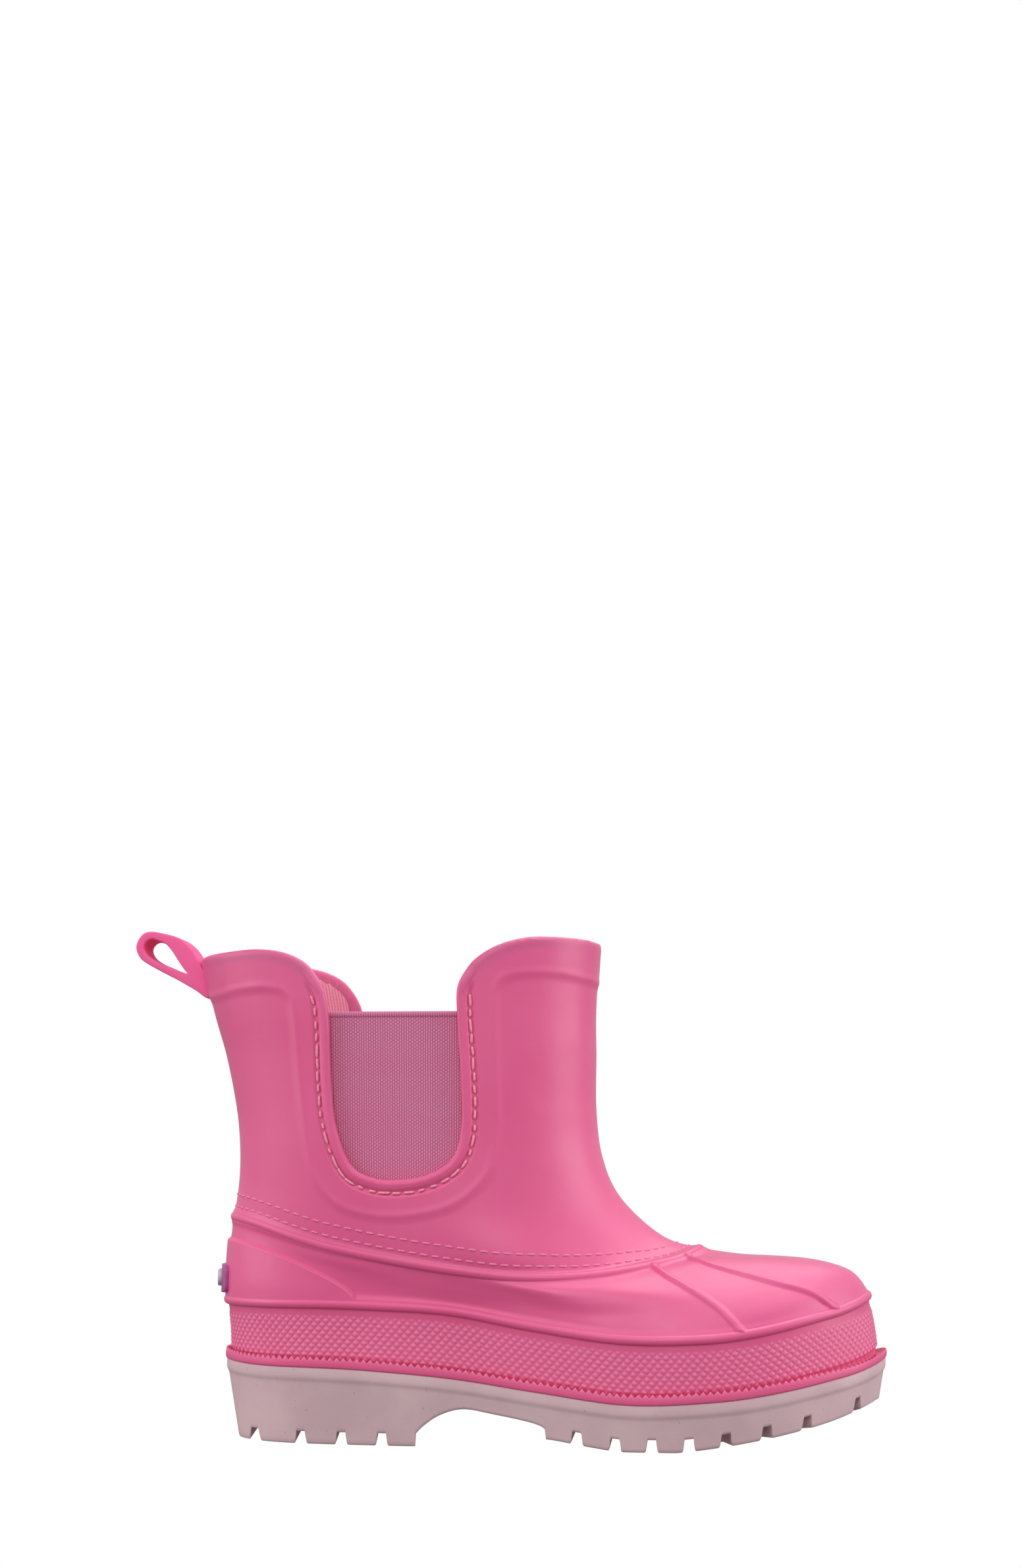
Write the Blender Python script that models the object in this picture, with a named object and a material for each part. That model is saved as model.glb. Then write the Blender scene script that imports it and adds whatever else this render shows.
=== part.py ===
"""A child's ankle rain boot for the right foot, about EU size 28, as an assembly of its pieces.

World frame: metres, +Z up, +X towards the toe, +Y towards the inner side of the foot, with the ground at z = 0
and the origin under the middle of the whole boot. The shape is designed in a shoemaker's frame in millimetres:
x = 0 at the back of the welt, y = 0 on the centre line of the heel, z = 0 on the ground.

The skin of the boot is a surface through closed loops. A loop starts at the middle of the back (turn 0), runs
along the outer side to the toe (turn 180 degrees) and comes back along the inner side.
"""

import math
from collections import namedtuple

import bmesh
import bpy
import numpy as np
from mathutils import Matrix, Vector

MM = 0.001
ORIGIN = np.array([84.6, -0.15, 0.0])

# Driving dimensions, in millimetres.
GAP = 0.3
SHELL = 2.2
FOXING = 2.0
LINING = 1.1
ELASTIC = 1.4
WELT_HEIGHT = 3.0
WELT_DEPTH = 2.4
SEAM_BEAD = 1.35
SEAM_CLEAR = SEAM_BEAD + 2 * GAP
FOXING_BEAD = 1.2
GORE_BEAD = 1.25
THREAD = 0.4
GORE_TOP = 124.3
GORE_MARGIN = 6.0
STITCH_OUT = 4.4
BOARD = 2.0
FOOTBED = 4.0
BOARD_INSET = 4.9
FOOTBED_INSET = 8.4
RIM = 3.2
RIM_DEPTH = 2.3
RIM_FOOT = 1.7
LUG_DEPTH = 3.6
POCKET_FLOOR = 9.0
POCKET_MIDDLE = 34.0
POCKET_LENGTH = 42.0
POCKET_WIDTH = 34.0
BELOW = -8.0
LAP = 48

# Loops: x at the back and at the toe, then the half width divided by the sine of the turn and the height, each
# at the nine stations.
STATIONS = np.radians((0, 30, 60, 75, 90, 105, 120, 150, 180))
Loop = namedtuple("Loop", "back front width height")

SOLE_EDGE = Loop(
    2.2, 193.8,
    (48, 44, 34.8, 32, 33.8, 39.2, 45, 51, 51.5),
    (23.6, 22.6, 21.6, 19.7, 16.3, 13.4, 14.3, 20.2, 24.6),
)
FOXING_TOP = Loop(
    1.1, 190.8,
    (47, 43, 33.5, 30.8, 32.3, 37.8, 43.9, 50, 51),
    (40.8, 40.6, 40.2, 38.9, 34.7, 31.5, 31.6, 37.8, 42.4),
)
SEAM = Loop(
    2.8, 141.8,
    (42, 38, 34.2, 32.5, 32.5, 33.5, 34.5, 34, 31),
    (65.5, 63.9, 56.6, 53.4, 50.6, 48.7, 48.8, 52.7, 56.3),
)
TOE_BOX = (
    Loop(
        1.1, 189.2,
        (47, 43, 33.4, 30.8, 32.1, 37.2, 42.8, 48.5, 50),
        (46, 45.5, 43.2, 41.1, 37.6, 34.9, 35.5, 43, 46.4),
    ),
    Loop(
        1.3, 184.5,
        (46, 42, 33.6, 31.3, 32, 36, 40, 42, 46),
        (51.5, 50.5, 46.2, 43.4, 40.6, 38.4, 40.3, 48.6, 50.3),
    ),
    Loop(
        1.7, 174.0,
        (45, 40.5, 34, 31.8, 32.2, 35.5, 38, 35, 36),
        (57, 55.5, 49.3, 46, 43.6, 41.8, 44, 52, 53),
    ),
    Loop(
        2.2, 158.0,
        (43.5, 39, 34.5, 32.2, 32.4, 35, 36.5, 31.5, 31),
        (61.2, 59.7, 52.6, 49.6, 46.9, 45, 46.2, 53.3, 54),
    ),
)
SHAFT = (
    Loop(
        3.6, 130.5,
        (41.5, 37.8, 34.5, 33, 33, 34.5, 35, 33.5, 33),
        (69.5, 68, 62, 59, 56.5, 55, 55, 57.5, 60),
    ),
    Loop(
        4.6, 118.6,
        (41, 37.5, 34.5, 33.2, 33, 33.8, 34, 34.5, 36),
        (77, 76, 72, 70, 68, 67, 66.8, 69, 71),
    ),
    Loop(
        4.8, 113.2,
        (41, 38, 34.8, 33.2, 32.8, 33.2, 33.8, 35.5, 38),
        (86, 85.7, 84.5, 83.5, 82.5, 82, 82, 82.6, 83),
    ),
    Loop(3.9, 111.4, (41.5, 38.5, 35, 33.2, 32.6, 32.8, 33.6, 36, 39), (97,) * 9),
    Loop(0.9, 111.4, (42, 39, 35.2, 33.3, 32.6, 32.6, 33.6, 36.5, 39.5), (112.5,) * 9),
    Loop(-3.2, 111.4, (43, 39.5, 35.5, 33.5, 32.6, 32.6, 33.8, 37, 40), (127,) * 9),
    Loop(-8.4, 112.8, (44, 40, 36, 33.8, 32.8, 32.8, 34, 37.5, 40.5), (149,) * 9),
)
WALL = (SOLE_EDGE, FOXING_TOP)
UPPER = (FOXING_TOP,) + TOE_BOX + (SEAM,) + SHAFT
SEAM_LEVEL = UPPER.index(SEAM)
TOP_LEVEL = len(UPPER) - 1

# The last's centre line swings outwards at the waist and inwards at the big toe.
BEND_X = (0, 40, 80, 125, 160, 195)
BEND_Y = (0, 0, -1.5, -1.0, 1.5, 5.0)

# Tread: height of the lug tips above the ground along the boot, the arch between heel and ball, the grooves, and
# how far the wall of the sole leans in for each millimetre that it goes down. The grooves and the arch are placed
# at the outer edge of the sole, this far from its centre line, and run back towards its inner edge by SLANT.
TREAD_X = (0, 60, 100, 111, 121, 136, 147, 156, 168, 180, 194)
TREAD_Z = (0, 0, 3.0, 1.3, 0, 0, 1.3, 2.7, 5.0, 7.9, 12.6)
ARCH = ((61.9, 3.5), (64.5, 6.1), (69.2, 9.2), (75.7, 11), (84, 9.9), (98.3, 6.7), (99.5, 2.0))
HEEL_GROOVES = (14.6, 28.5, 40.4, 52.2)
BALL_GROOVES = (108.5, 119.3, 129.5, 139.9)
TOE_GROOVE_TURNS = (122.9, 131.3, 140.9, 157.4)
TOE_GROOVE_REACH = (-14.0, 5.0)
GROOVE = 3.2
DRAFT = 0.155
SLANT_X = (60, 100)
SLANT = (0.14, 0.03)
OUTER_EDGE = (32, 41)

# Side view of the collar and of the cut-out for the elastic, from the back of the collar to its front.
COLLAR_LINE = (
    (-16, 141.5), (4, 142.3), (16, 142.5), (25, 140.8), (31.5, 136.8), (35.3, 130.5),
    (36.9, 122), (37.5, 104), (39, 91), (43.5, 80.3), (50.5, 76.6), (58, 76.2),
    (66, 77.8), (72.5, 82.2), (75, 90), (75, 104), (73.9, 122), (74, 131),
    (77.3, 137.2), (83.5, 142), (91.5, 144.9), (101, 145.8), (125, 145.6),
)
SHOULDER_LOW, SHOULDER_HIGH = 131.0, 137.0

# Pull loop, in side view around its pivot at the back of the collar.
LOOP_PIVOT = (-7.4, 137.2)
LOOP_WIDTH = 12.0
LOOP_OUTSIDE = (
    (-8, 135.2), (-13, 135.7), (-20.7, 139.1), (-25.2, 142.2), (-26.8, 146), (-24.8, 149.6),
    (-21, 150.3), (-15.5, 149.2), (-11.8, 145.8), (-9.3, 141.3), (-7.9, 138.2),
)
LOOP_HOLE = (
    (-10.9, 137.6), (-13.4, 138.7), (-18.6, 140.8), (-22.4, 142.7), (-24, 145.6), (-23, 147.6),
    (-20.8, 148.5), (-17.8, 147.6), (-15, 144.9), (-13, 141.2), (-11.6, 138.7),
)


# ---- curves and surfaces ----

def smooth(knots, values, at, flat_ends=False):
    """A smooth curve through values at the knots; the last axis of values runs over the knots."""
    knots = np.asarray(knots, float)
    values = np.asarray(values, float)
    slopes = np.array(np.gradient(values, knots, axis=-1))
    if flat_ends:
        slopes[..., 0] = 0
        slopes[..., -1] = 0
    shape = np.broadcast_shapes(np.shape(at), values.shape[:-1])
    at = np.broadcast_to(np.asarray(at, float), shape)
    values, slopes = (np.broadcast_to(array, shape + knots.shape) for array in (values, slopes))
    left = np.clip(np.searchsorted(knots, at, side="right") - 1, 0, len(knots) - 2)
    span = knots[left + 1] - knots[left]
    t = (at - knots[left]) / span

    def pick(array, index):
        return np.take_along_axis(array, index[..., None], axis=-1)[..., 0]

    return (
        (1 + 2 * t) * (1 - t) ** 2 * pick(values, left)
        + t * (1 - t) ** 2 * span * pick(slopes, left)
        + t * t * (3 - 2 * t) * pick(values, left + 1)
        + t * t * (t - 1) * span * pick(slopes, left + 1)
    )


def bend(x):
    return smooth(BEND_X, BEND_Y, np.clip(x, 0, 195))


def on_loops(loops, level, turn):
    """Points in millimetres on the surface through the loops: level 0 is the first loop, 1 the next one."""
    level, turn = np.broadcast_arrays(np.asarray(level, float), np.asarray(turn, float))
    table = np.array([[loop.back, loop.front, *loop.width, *loop.height] for loop in loops])
    row = smooth(np.arange(len(loops)), table.T, level.reshape(-1, 1))
    row = row.reshape(level.shape + (-1,))
    folded = np.abs((turn + math.pi) % (2 * math.pi) - math.pi)
    stations = len(STATIONS)
    x = row[..., 0] + (row[..., 1] - row[..., 0]) * (1 - np.cos(folded)) / 2
    half = smooth(STATIONS, row[..., 2 : 2 + stations], folded, flat_ends=True)
    z = smooth(STATIONS, row[..., 2 + stations :], folded, flat_ends=True)
    return np.stack([x, bend(x) - np.sin(turn) * half, z], axis=-1)


def skin(loops, level, turn, offset=0.0):
    """The same points, moved along the surface's outward normal by offset."""
    step = 1e-3
    level = np.clip(np.asarray(level, float), step, len(loops) - 1 - step)
    along = on_loops(loops, level, turn + step) - on_loops(loops, level, turn - step)
    up = on_loops(loops, level + step, turn) - on_loops(loops, level - step, turn)
    normal = np.cross(along, up)
    normal /= np.linalg.norm(normal, axis=-1, keepdims=True)
    return on_loops(loops, level, turn) + np.asarray(offset)[..., None] * normal


def level_at(loops, level, turn, distance):
    """The level that lies this far above the given one, measured straight and square to the loop."""
    here = on_loops(loops, level, turn)
    along = on_loops(loops, level, turn + 1e-3) - here
    along /= np.linalg.norm(along, axis=-1, keepdims=True)
    rise = np.full(np.shape(turn), math.copysign(0.1, distance))
    for _ in range(6):
        away = on_loops(loops, level + rise, turn) - here
        rise = rise * abs(distance) / np.linalg.norm(np.cross(away, along), axis=-1)
    return level + rise


def from_side(points, offset, side):
    """The points of the shaft's skin that show at these (x, z) places in side view, on side -1 (outer) or 1."""
    points = np.asarray(points, float)
    level = np.full(len(points), SEAM_LEVEL + 4.0)
    turn = np.full(len(points), math.pi / 2)
    step = 1e-4
    for _ in range(30):
        here = on_loops(UPPER, level, turn)[:, [0, 2]]
        by_level = (on_loops(UPPER, level + step, turn)[:, [0, 2]] - here) / step
        by_turn = (on_loops(UPPER, level, turn + step)[:, [0, 2]] - here) / step
        missing = points - here
        size = by_level[:, 0] * by_turn[:, 1] - by_level[:, 1] * by_turn[:, 0]
        d_level = (missing[:, 0] * by_turn[:, 1] - missing[:, 1] * by_turn[:, 0]) / size
        d_turn = (by_level[:, 0] * missing[:, 1] - by_level[:, 1] * missing[:, 0]) / size
        level = np.clip(level + np.clip(d_level, -1, 1), 0.0, TOP_LEVEL)
        turn = np.clip(turn + np.clip(d_turn, -0.3, 0.3), 0.02, math.pi - 0.02)
    return skin(UPPER, level, -side * turn, offset)


def spline(points, pieces, closed=False):
    """A smooth run through the points, with this many steps between two of them."""
    points = np.asarray(points, float)
    count = len(points)
    run = []
    for i in range(count if closed else count - 1):
        near = [i - 1, i, i + 1, i + 2]
        near = [k % count if closed else min(max(k, 0), count - 1) for k in near]
        before, start, end, after = points[near]
        for k in range(pieces):
            t = k / pieces
            run.append(
                0.5
                * (
                    2 * start
                    + (end - before) * t
                    + (2 * before - 5 * start + 4 * end - after) * t**2
                    + (3 * start - before - 3 * end + after) * t**3
                )
            )
    if not closed:
        run.append(points[-1])
    return np.array(run)


def collar_line(spread, drop, pieces=3):
    """The collar line moved into the shell: by spread round the cut-out for the elastic, by drop at the top."""
    line = spline(COLLAR_LINE, pieces)
    ahead = np.gradient(line, axis=0)
    ahead /= np.linalg.norm(ahead, axis=1, keepdims=True)
    inwards = np.stack([ahead[:, 1], -ahead[:, 0]], axis=1)
    high = np.clip((line[:, 1] - SHOULDER_LOW) / (SHOULDER_HIGH - SHOULDER_LOW), 0, 1)
    high = high * high * (3 - 2 * high)
    return line + inwards * (spread + (drop - spread) * high)[:, None]


# ---- meshes ----

def to_world(points):
    return (np.asarray(points, float) - ORIGIN) * MM


def finish_object(name, data, colour, roughness):
    obj = bpy.data.objects.new(name, data)
    bpy.context.scene.collection.objects.link(obj)
    material = bpy.data.materials.new(name)
    material.use_nodes = True
    shader = material.node_tree.nodes["Principled BSDF"]
    shader.inputs["Base Color"].default_value = (*colour, 1)
    shader.inputs["Roughness"].default_value = roughness
    shader.inputs["Metallic"].default_value = 0.0
    data.materials.append(material)
    return obj


def outward_mesh(name, points, faces):
    """Mesh data from points in millimetres, with its faces turned outwards."""
    shape = bmesh.new()
    corners = [shape.verts.new(point) for point in to_world(points)]
    for face in faces:
        shape.faces.new([corners[i] for i in face])
    bmesh.ops.recalc_face_normals(shape, faces=shape.faces)
    mesh = bpy.data.meshes.new(name)
    shape.to_mesh(mesh)
    shape.free()
    return mesh


def add_mesh(name, points, faces, colour, roughness):
    mesh = outward_mesh(name, points, faces)
    mesh.shade_smooth()
    mesh.set_sharp_from_angle(angle=math.radians(35))
    return finish_object(name, mesh, colour, roughness)


def bridge(rows, count, closed):
    """Faces between neighbouring laps of points; closed joins the last lap to the first one."""
    faces = []
    for row in range(rows if closed else rows - 1):
        above = (row + 1) % rows
        for k in range(count):
            ahead = (k + 1) % count
            faces.append((row * count + k, row * count + ahead, above * count + ahead, above * count + k))
    return faces


def ring(name, rows, colour, roughness):
    """A solid like a tyre: closed laps of points, the last lap joined to the first."""
    rows = np.array(rows)
    return add_mesh(name, rows.reshape(-1, 3), bridge(len(rows), rows.shape[1], True), colour, roughness)


def stack(name, rows, colour, roughness):
    """A solid from laps of points, mirrored left to right, with both ends closed across the lap."""
    rows = np.array(rows)
    count = rows.shape[1]
    faces = bridge(len(rows), count, False)
    for start in (0, (len(rows) - 1) * count):
        faces.append((start, start + 1, start + count - 1))
        for k in range(1, count // 2 - 1):
            faces.append((start + k, start + k + 1, start + count - k - 1, start + count - k))
        half = count // 2
        faces.append((start + half - 1, start + half, start + half + 1))
    return add_mesh(name, rows.reshape(-1, 3), faces, colour, roughness)


def plate(name, front, back, colour, roughness):
    """A curved plate between two grids of points with the same rows and columns."""
    front, back = np.array(front), np.array(back)
    rows, columns = front.shape[:2]
    second = rows * columns

    def at(row, column, layer):
        return layer * second + row * columns + column

    faces = []
    for row in range(rows - 1):
        for column in range(columns - 1):
            square = ((row, column), (row, column + 1), (row + 1, column + 1), (row + 1, column))
            for layer in (0, 1):
                faces.append([at(*corner, layer) for corner in square])
    rim = [(0, c) for c in range(columns)] + [(r, columns - 1) for r in range(1, rows)]
    rim += [(rows - 1, c) for c in range(columns - 2, -1, -1)] + [(r, 0) for r in range(rows - 2, 0, -1)]
    for this, following in zip(rim, rim[1:] + rim[:1]):
        faces.append((at(*this, 0), at(*following, 0), at(*following, 1), at(*this, 1)))
    points = np.concatenate([front.reshape(-1, 3), back.reshape(-1, 3)])
    return add_mesh(name, points, faces, colour, roughness)


def pad(name, outline, offsets, colour, roughness):
    """A thin raised shape on the back of the heel: its outline as (turn, level) pairs round a middle point."""
    outline = np.array(outline)
    middle = outline.mean(axis=0)
    shares = (0.25, 0.5, 0.75, 1.0)
    flat = np.vstack([middle] + [middle + (outline - middle) * share for share in shares])
    layers = [skin(UPPER, flat[:, 1], flat[:, 0], np.full(len(flat), offset)) for offset in offsets]
    count, second = len(outline), len(flat)
    last = 1 + (len(shares) - 1) * count
    faces = []
    for k in range(count):
        ahead = (k + 1) % count
        for base in (0, second):
            faces.append((base, base + 1 + k, base + 1 + ahead))
            for inner in range(1, last, count):
                lap = (inner + k, inner + ahead, inner + count + ahead, inner + count + k)
                faces.append([base + corner for corner in lap])
        faces.append((last + k, last + ahead, second + last + ahead, second + last + k))
    return add_mesh(name, np.vstack(layers), faces, colour, roughness)


def bead(name, route, radius, closed, sides, colour, roughness):
    """A round strip along a route in millimetres, as a bevelled curve with filled ends."""
    curve = bpy.data.curves.new(name, "CURVE")
    curve.dimensions = "3D"
    curve.bevel_depth = radius * MM
    curve.bevel_resolution = sides
    curve.use_fill_caps = True
    run = curve.splines.new("POLY")
    run.points.add(len(route) - 1)
    for point, place in zip(run.points, to_world(route)):
        point.co = (*place, 1)
    run.use_cyclic_u = closed
    return finish_object(name, curve, colour, roughness)


def cutter(name, outline, low, high):
    """A prism whose outline is drawn in side view, from y = low to y = high, used to cut other pieces."""
    return prism(name, [(x, low, z) for x, z in outline], (0, high - low, 0))


def prism(name, corners, sweep):
    """A hidden solid that cuts other pieces: a flat face with these corners, swept along a vector."""
    count = len(corners)
    points = np.concatenate([np.array(corners), np.array(corners) + np.array(sweep)])
    faces = bridge(2, count, False) + [list(range(count)), list(range(count, 2 * count))]
    return hidden_solid(name, points, faces)


def hidden_solid(name, points, faces):
    obj = bpy.data.objects.new(name, outward_mesh(name, points, faces))
    bpy.context.scene.collection.objects.link(obj)
    obj.hide_render = True
    obj.display_type = "WIRE"
    return obj


def cut(obj, tool):
    modifier = obj.modifiers.new("cut_" + tool.name, "BOOLEAN")
    modifier.operation = "DIFFERENCE"
    modifier.solver = "EXACT"
    modifier.object = tool


# ---- colours, linear ----

PINK = (0.81, 0.10, 0.27)
PINK_DEEP = (0.66, 0.06, 0.19)
PALE = (0.46, 0.33, 0.35)
MAUVE = (0.40, 0.12, 0.26)
THREAD_PINK = (0.68, 0.34, 0.43)
PURPLE = (0.36, 0.06, 0.24)
GREY = (0.58, 0.57, 0.54)
LINEN = (0.62, 0.35, 0.42)
BOARD_GREY = (0.35, 0.32, 0.30)
FOAM = (0.72, 0.70, 0.62)


# ---- pieces ----

TURNS = np.arange(LAP) * 2 * math.pi / LAP


def edge_height(loop, x):
    """The height of a loop where it passes this x."""
    share = np.clip((x - loop.back) / (loop.front - loop.back), 0, 1)
    return smooth(STATIONS, loop.height, np.arccos(1 - 2 * share), flat_ends=True)


def wall_lap(share, offset, lift=0.0):
    """A lap on the side wall at this share of its height, moved level outwards by offset and up by lift."""
    points = on_loops(WALL, share, TURNS)
    outwards = (skin(WALL, share, TURNS, np.ones(LAP)) - points)[:, :2]
    outwards /= np.linalg.norm(outwards, axis=1, keepdims=True)
    points[:, :2] += np.reshape(offset, (-1, 1)) * outwards
    low, high = (edge_height(loop, points[:, 0]) for loop in WALL)
    points[:, 2] = low + share * (high - low) + lift
    return points


def upper_lap(level, distance, offset):
    """A lap on the upper, this distance above a level."""
    levels = level_at(UPPER, level, TURNS, distance) if distance else level
    return skin(UPPER, levels, TURNS, np.full(LAP, offset))


def tread_height(x):
    return np.maximum(smooth(TREAD_X, TREAD_Z, np.clip(x, 0, 193)), 0)


def standing_out(most):
    """How far a strip stands out of the wall round the sole: most at the toe, and a third less at the heel."""
    return most * (0.68 + 0.32 * (1 - np.cos(TURNS)) / 2)


def make_outsole():
    ledge = wall_lap(0, standing_out(RIM_FOOT), -GAP - RIM)
    height = ledge[:, 2] - tread_height(ledge[:, 0])
    foot = wall_lap(0, standing_out(RIM_FOOT) - DRAFT * height)
    foot[:, 2] = tread_height(foot[:, 0])
    rows = [foot, ledge]
    rows += [wall_lap(0, standing_out(RIM_DEPTH), lift) for lift in (-GAP - RIM + 0.5, -GAP)]
    sole = stack("outsole", rows, PALE, 0.6)
    cut(sole, arch_cutter())
    for number, x in enumerate(HEEL_GROOVES + BALL_GROOVES):
        heading = 90 + math.degrees(math.atan(slant(x)))
        cut(sole, groove_cutter(f"groove_cutter_{number}", (slanted(x, 0), 0), heading, 60))
    for number, turn in enumerate(TOE_GROOVE_TURNS):
        for side in (-1, 1):
            middle, heading, reach = toe_groove(side * turn)
            cut(sole, groove_cutter(f"toe_cutter_{number}_{side}", middle, heading, reach))
    cut(sole, heel_pocket("pocket_cutter", 0.0, POCKET_FLOOR, 40))


def slant(x):
    return np.interp(x, SLANT_X, SLANT)


def slanted(x, y):
    """Where a groove that meets the outer edge at x lies at this distance from the centre line."""
    return x - slant(x) * (y + np.interp(x, SLANT_X, OUTER_EDGE))


def arch_cutter():
    """The hollow under the waist: the arch swept across the sole, more slanted at the heel than at the ball."""
    x, z = np.array([(ARCH[0][0], BELOW), *spline(ARCH, 2), (ARCH[-1][0], BELOW)]).T
    rows = [np.column_stack([slanted(x, y), np.full(len(x), y), z]) for y in (-60, 60)]
    count = len(x)
    faces = bridge(2, count, False) + [list(range(count)), list(range(count, 2 * count))]
    return hidden_solid("arch_cutter", np.concatenate(rows), faces)


def toe_groove(turn):
    """Middle, heading in degrees and half length of the groove that crosses the sole's edge at this turn."""
    ends = [skin(WALL, 0, np.radians([turn]), reach)[0, :2] for reach in TOE_GROOVE_REACH]
    across = ends[1] - ends[0]
    return (ends[0] + ends[1]) / 2, math.degrees(math.atan2(across[1], across[0])), np.hypot(*across) / 2


def groove_cutter(name, middle, heading, reach):
    """A box that cuts one tread groove: this far either way from its middle along the heading."""
    along = np.array([math.cos(math.radians(heading)), math.sin(math.radians(heading))])
    across = np.array([-along[1], along[0]]) * GROOVE / 2
    roof = tread_height(middle[0]) + LUG_DEPTH
    signs = ((-1, -1), (1, -1), (1, 1), (-1, 1))
    corners = [middle + x * reach * along + y * across for x, y in signs]
    return prism(name, [(*corner, BELOW) for corner in corners], (0, 0, roof - BELOW))


def heel_pocket(name, inset, low, high):
    """The rounded block that cuts the hollow of the heel."""
    return prism(name, [(x, y, low) for x, y in pocket_outline(inset)], (0, 0, high - low))


def pocket_outline(inset):
    """The outline of the heel's hollow, seen from above, drawn in by inset."""
    half_length, half_width = POCKET_LENGTH / 2 - inset, POCKET_WIDTH / 2 - inset
    turns = np.arange(24) * 2 * math.pi / 24
    x = POCKET_MIDDLE - half_length * np.sign(np.cos(turns)) * np.abs(np.cos(turns)) ** 0.6
    y = -half_width * np.sign(np.sin(turns)) * np.abs(np.sin(turns)) ** 0.6
    return np.stack([x, y], axis=1)


def make_heel_filler():
    outline = pocket_outline(GAP)
    levels = (POCKET_FLOOR + GAP, SOLE_EDGE.height[2] - 1.0)
    rows = [np.column_stack([outline, np.full(len(outline), level)]) for level in levels]
    stack("heel_filler", rows, FOAM, 0.9)


def make_insole_board():
    rows = [wall_lap(0, -BOARD_INSET, lift) for lift in (GAP, GAP + BOARD)]
    stack("insole_board", rows, BOARD_GREY, 0.9)


def make_footbed():
    low = 2 * GAP + BOARD
    inset = FOOTBED_INSET
    rows = [wall_lap(0, -inset - 0.8, low), wall_lap(0, -inset, low + 1), wall_lap(0, -inset, low + FOOTBED)]
    stack("footbed", rows, LINEN, 0.95)


def make_lower_shell():
    """The shell below the seam, thicker towards the foxing, which it stands behind."""
    behind = -FOXING - GAP
    outside = [wall_lap(0, behind), wall_lap(0.98, behind), upper_lap(0, FOXING_BEAD + 0.5, 0.0)]
    outside += [upper_lap(level, 0, 0.0) for level in range(1, SEAM_LEVEL)]
    outside.append(upper_lap(SEAM_LEVEL, -SEAM_CLEAR, 0.0))
    inside = [upper_lap(SEAM_LEVEL, -SEAM_CLEAR, -SHELL)]
    for level in range(SEAM_LEVEL - 1, 0, -1):
        inside.append(upper_lap(level, 0, -SHELL - 0.3 * (SEAM_LEVEL - level)))
    inside += [wall_lap(0.98, behind - SHELL), wall_lap(0, behind - SHELL + 0.4)]
    ring("lower_shell", outside + inside, PINK, 0.3)


def make_foxing():
    places = ((0, 0), (0.45, 0), (0.92, 0), (0.92, -FOXING), (0, -FOXING))
    ring("foxing_band", [wall_lap(share, offset) for share, offset in places], PINK, 0.35)
    bead("foxing_piping", upper_lap(0, 0, 0.35), FOXING_BEAD, True, 1, PINK, 0.3)
    far = standing_out(GAP + WELT_DEPTH)
    places = ((GAP, 0), (far, 0), (far, WELT_HEIGHT), (GAP, WELT_HEIGHT))
    ring("welt_strip", [wall_lap(0, offset, lift) for offset, lift in places], PINK_DEEP, 0.35)


def make_seam_piping():
    bead("seam_piping", upper_lap(SEAM_LEVEL, 0, 0.1), SEAM_BEAD, True, 1, PINK, 0.3)


def make_heel_counter():
    """The raised panel round the back of the heel, with a rounded upper edge that falls to the foxing."""
    reach = math.radians(58)
    turns = reach * np.sin(np.linspace(-math.pi / 2, math.pi / 2, 21))
    tops = np.maximum(3.55 * np.sqrt(1 - np.abs(turns / (reach * 1.001)) ** 5), 0.75)
    foot = level_at(UPPER, 0, turns, FOXING_BEAD + 0.6)
    levels = [foot + (tops - foot) * share for share in np.linspace(0, 1, 6)]
    front = [skin(UPPER, level, turns, np.full(len(turns), 0.95)) for level in levels]
    back = [skin(UPPER, level, turns, np.full(len(turns), GAP)) for level in levels]
    plate("heel_counter_overlay", front, back, PINK, 0.32)


def make_badge():
    turns = np.linspace(0, 2 * math.pi, 24, endpoint=False)

    def outline(half_turn, low, high, power):
        across = np.sign(np.cos(turns)) * np.abs(np.cos(turns)) ** power * math.radians(half_turn)
        up = np.sign(np.sin(turns)) * np.abs(np.sin(turns)) ** power * (high - low) / 2 + (high + low) / 2
        return np.stack([across, up], axis=1)

    pad("heel_badge_plate", outline(14.5, 0.38, 1.95, 0.45), (2.15, 1.3), PURPLE, 0.3)
    pad("heel_badge_emblem", outline(7.0, 0.7, 1.65, 1.0), (3.2, 2.5), GREY, 0.35)


def make_shaft():
    places = [(SEAM_LEVEL, SEAM_CLEAR)] + [(level, 0) for level in range(SEAM_LEVEL + 1, TOP_LEVEL)]
    places.append((TOP_LEVEL, -0.2))
    outside = [upper_lap(level, distance, 0.0) for level, distance in places]
    inside = [upper_lap(level, distance, -SHELL) for level, distance in reversed(places)]
    shaft = ring("shaft_upper", outside + inside, PINK, 0.3)
    cut(shaft, collar_cutter("shaft_cutter", 2 * GORE_BEAD + GAP, 0))


def collar_cutter(name, spread, drop):
    return cutter(name, [(140, 175), (-40, 175), *collar_line(spread, drop)], -60, 60)


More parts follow.
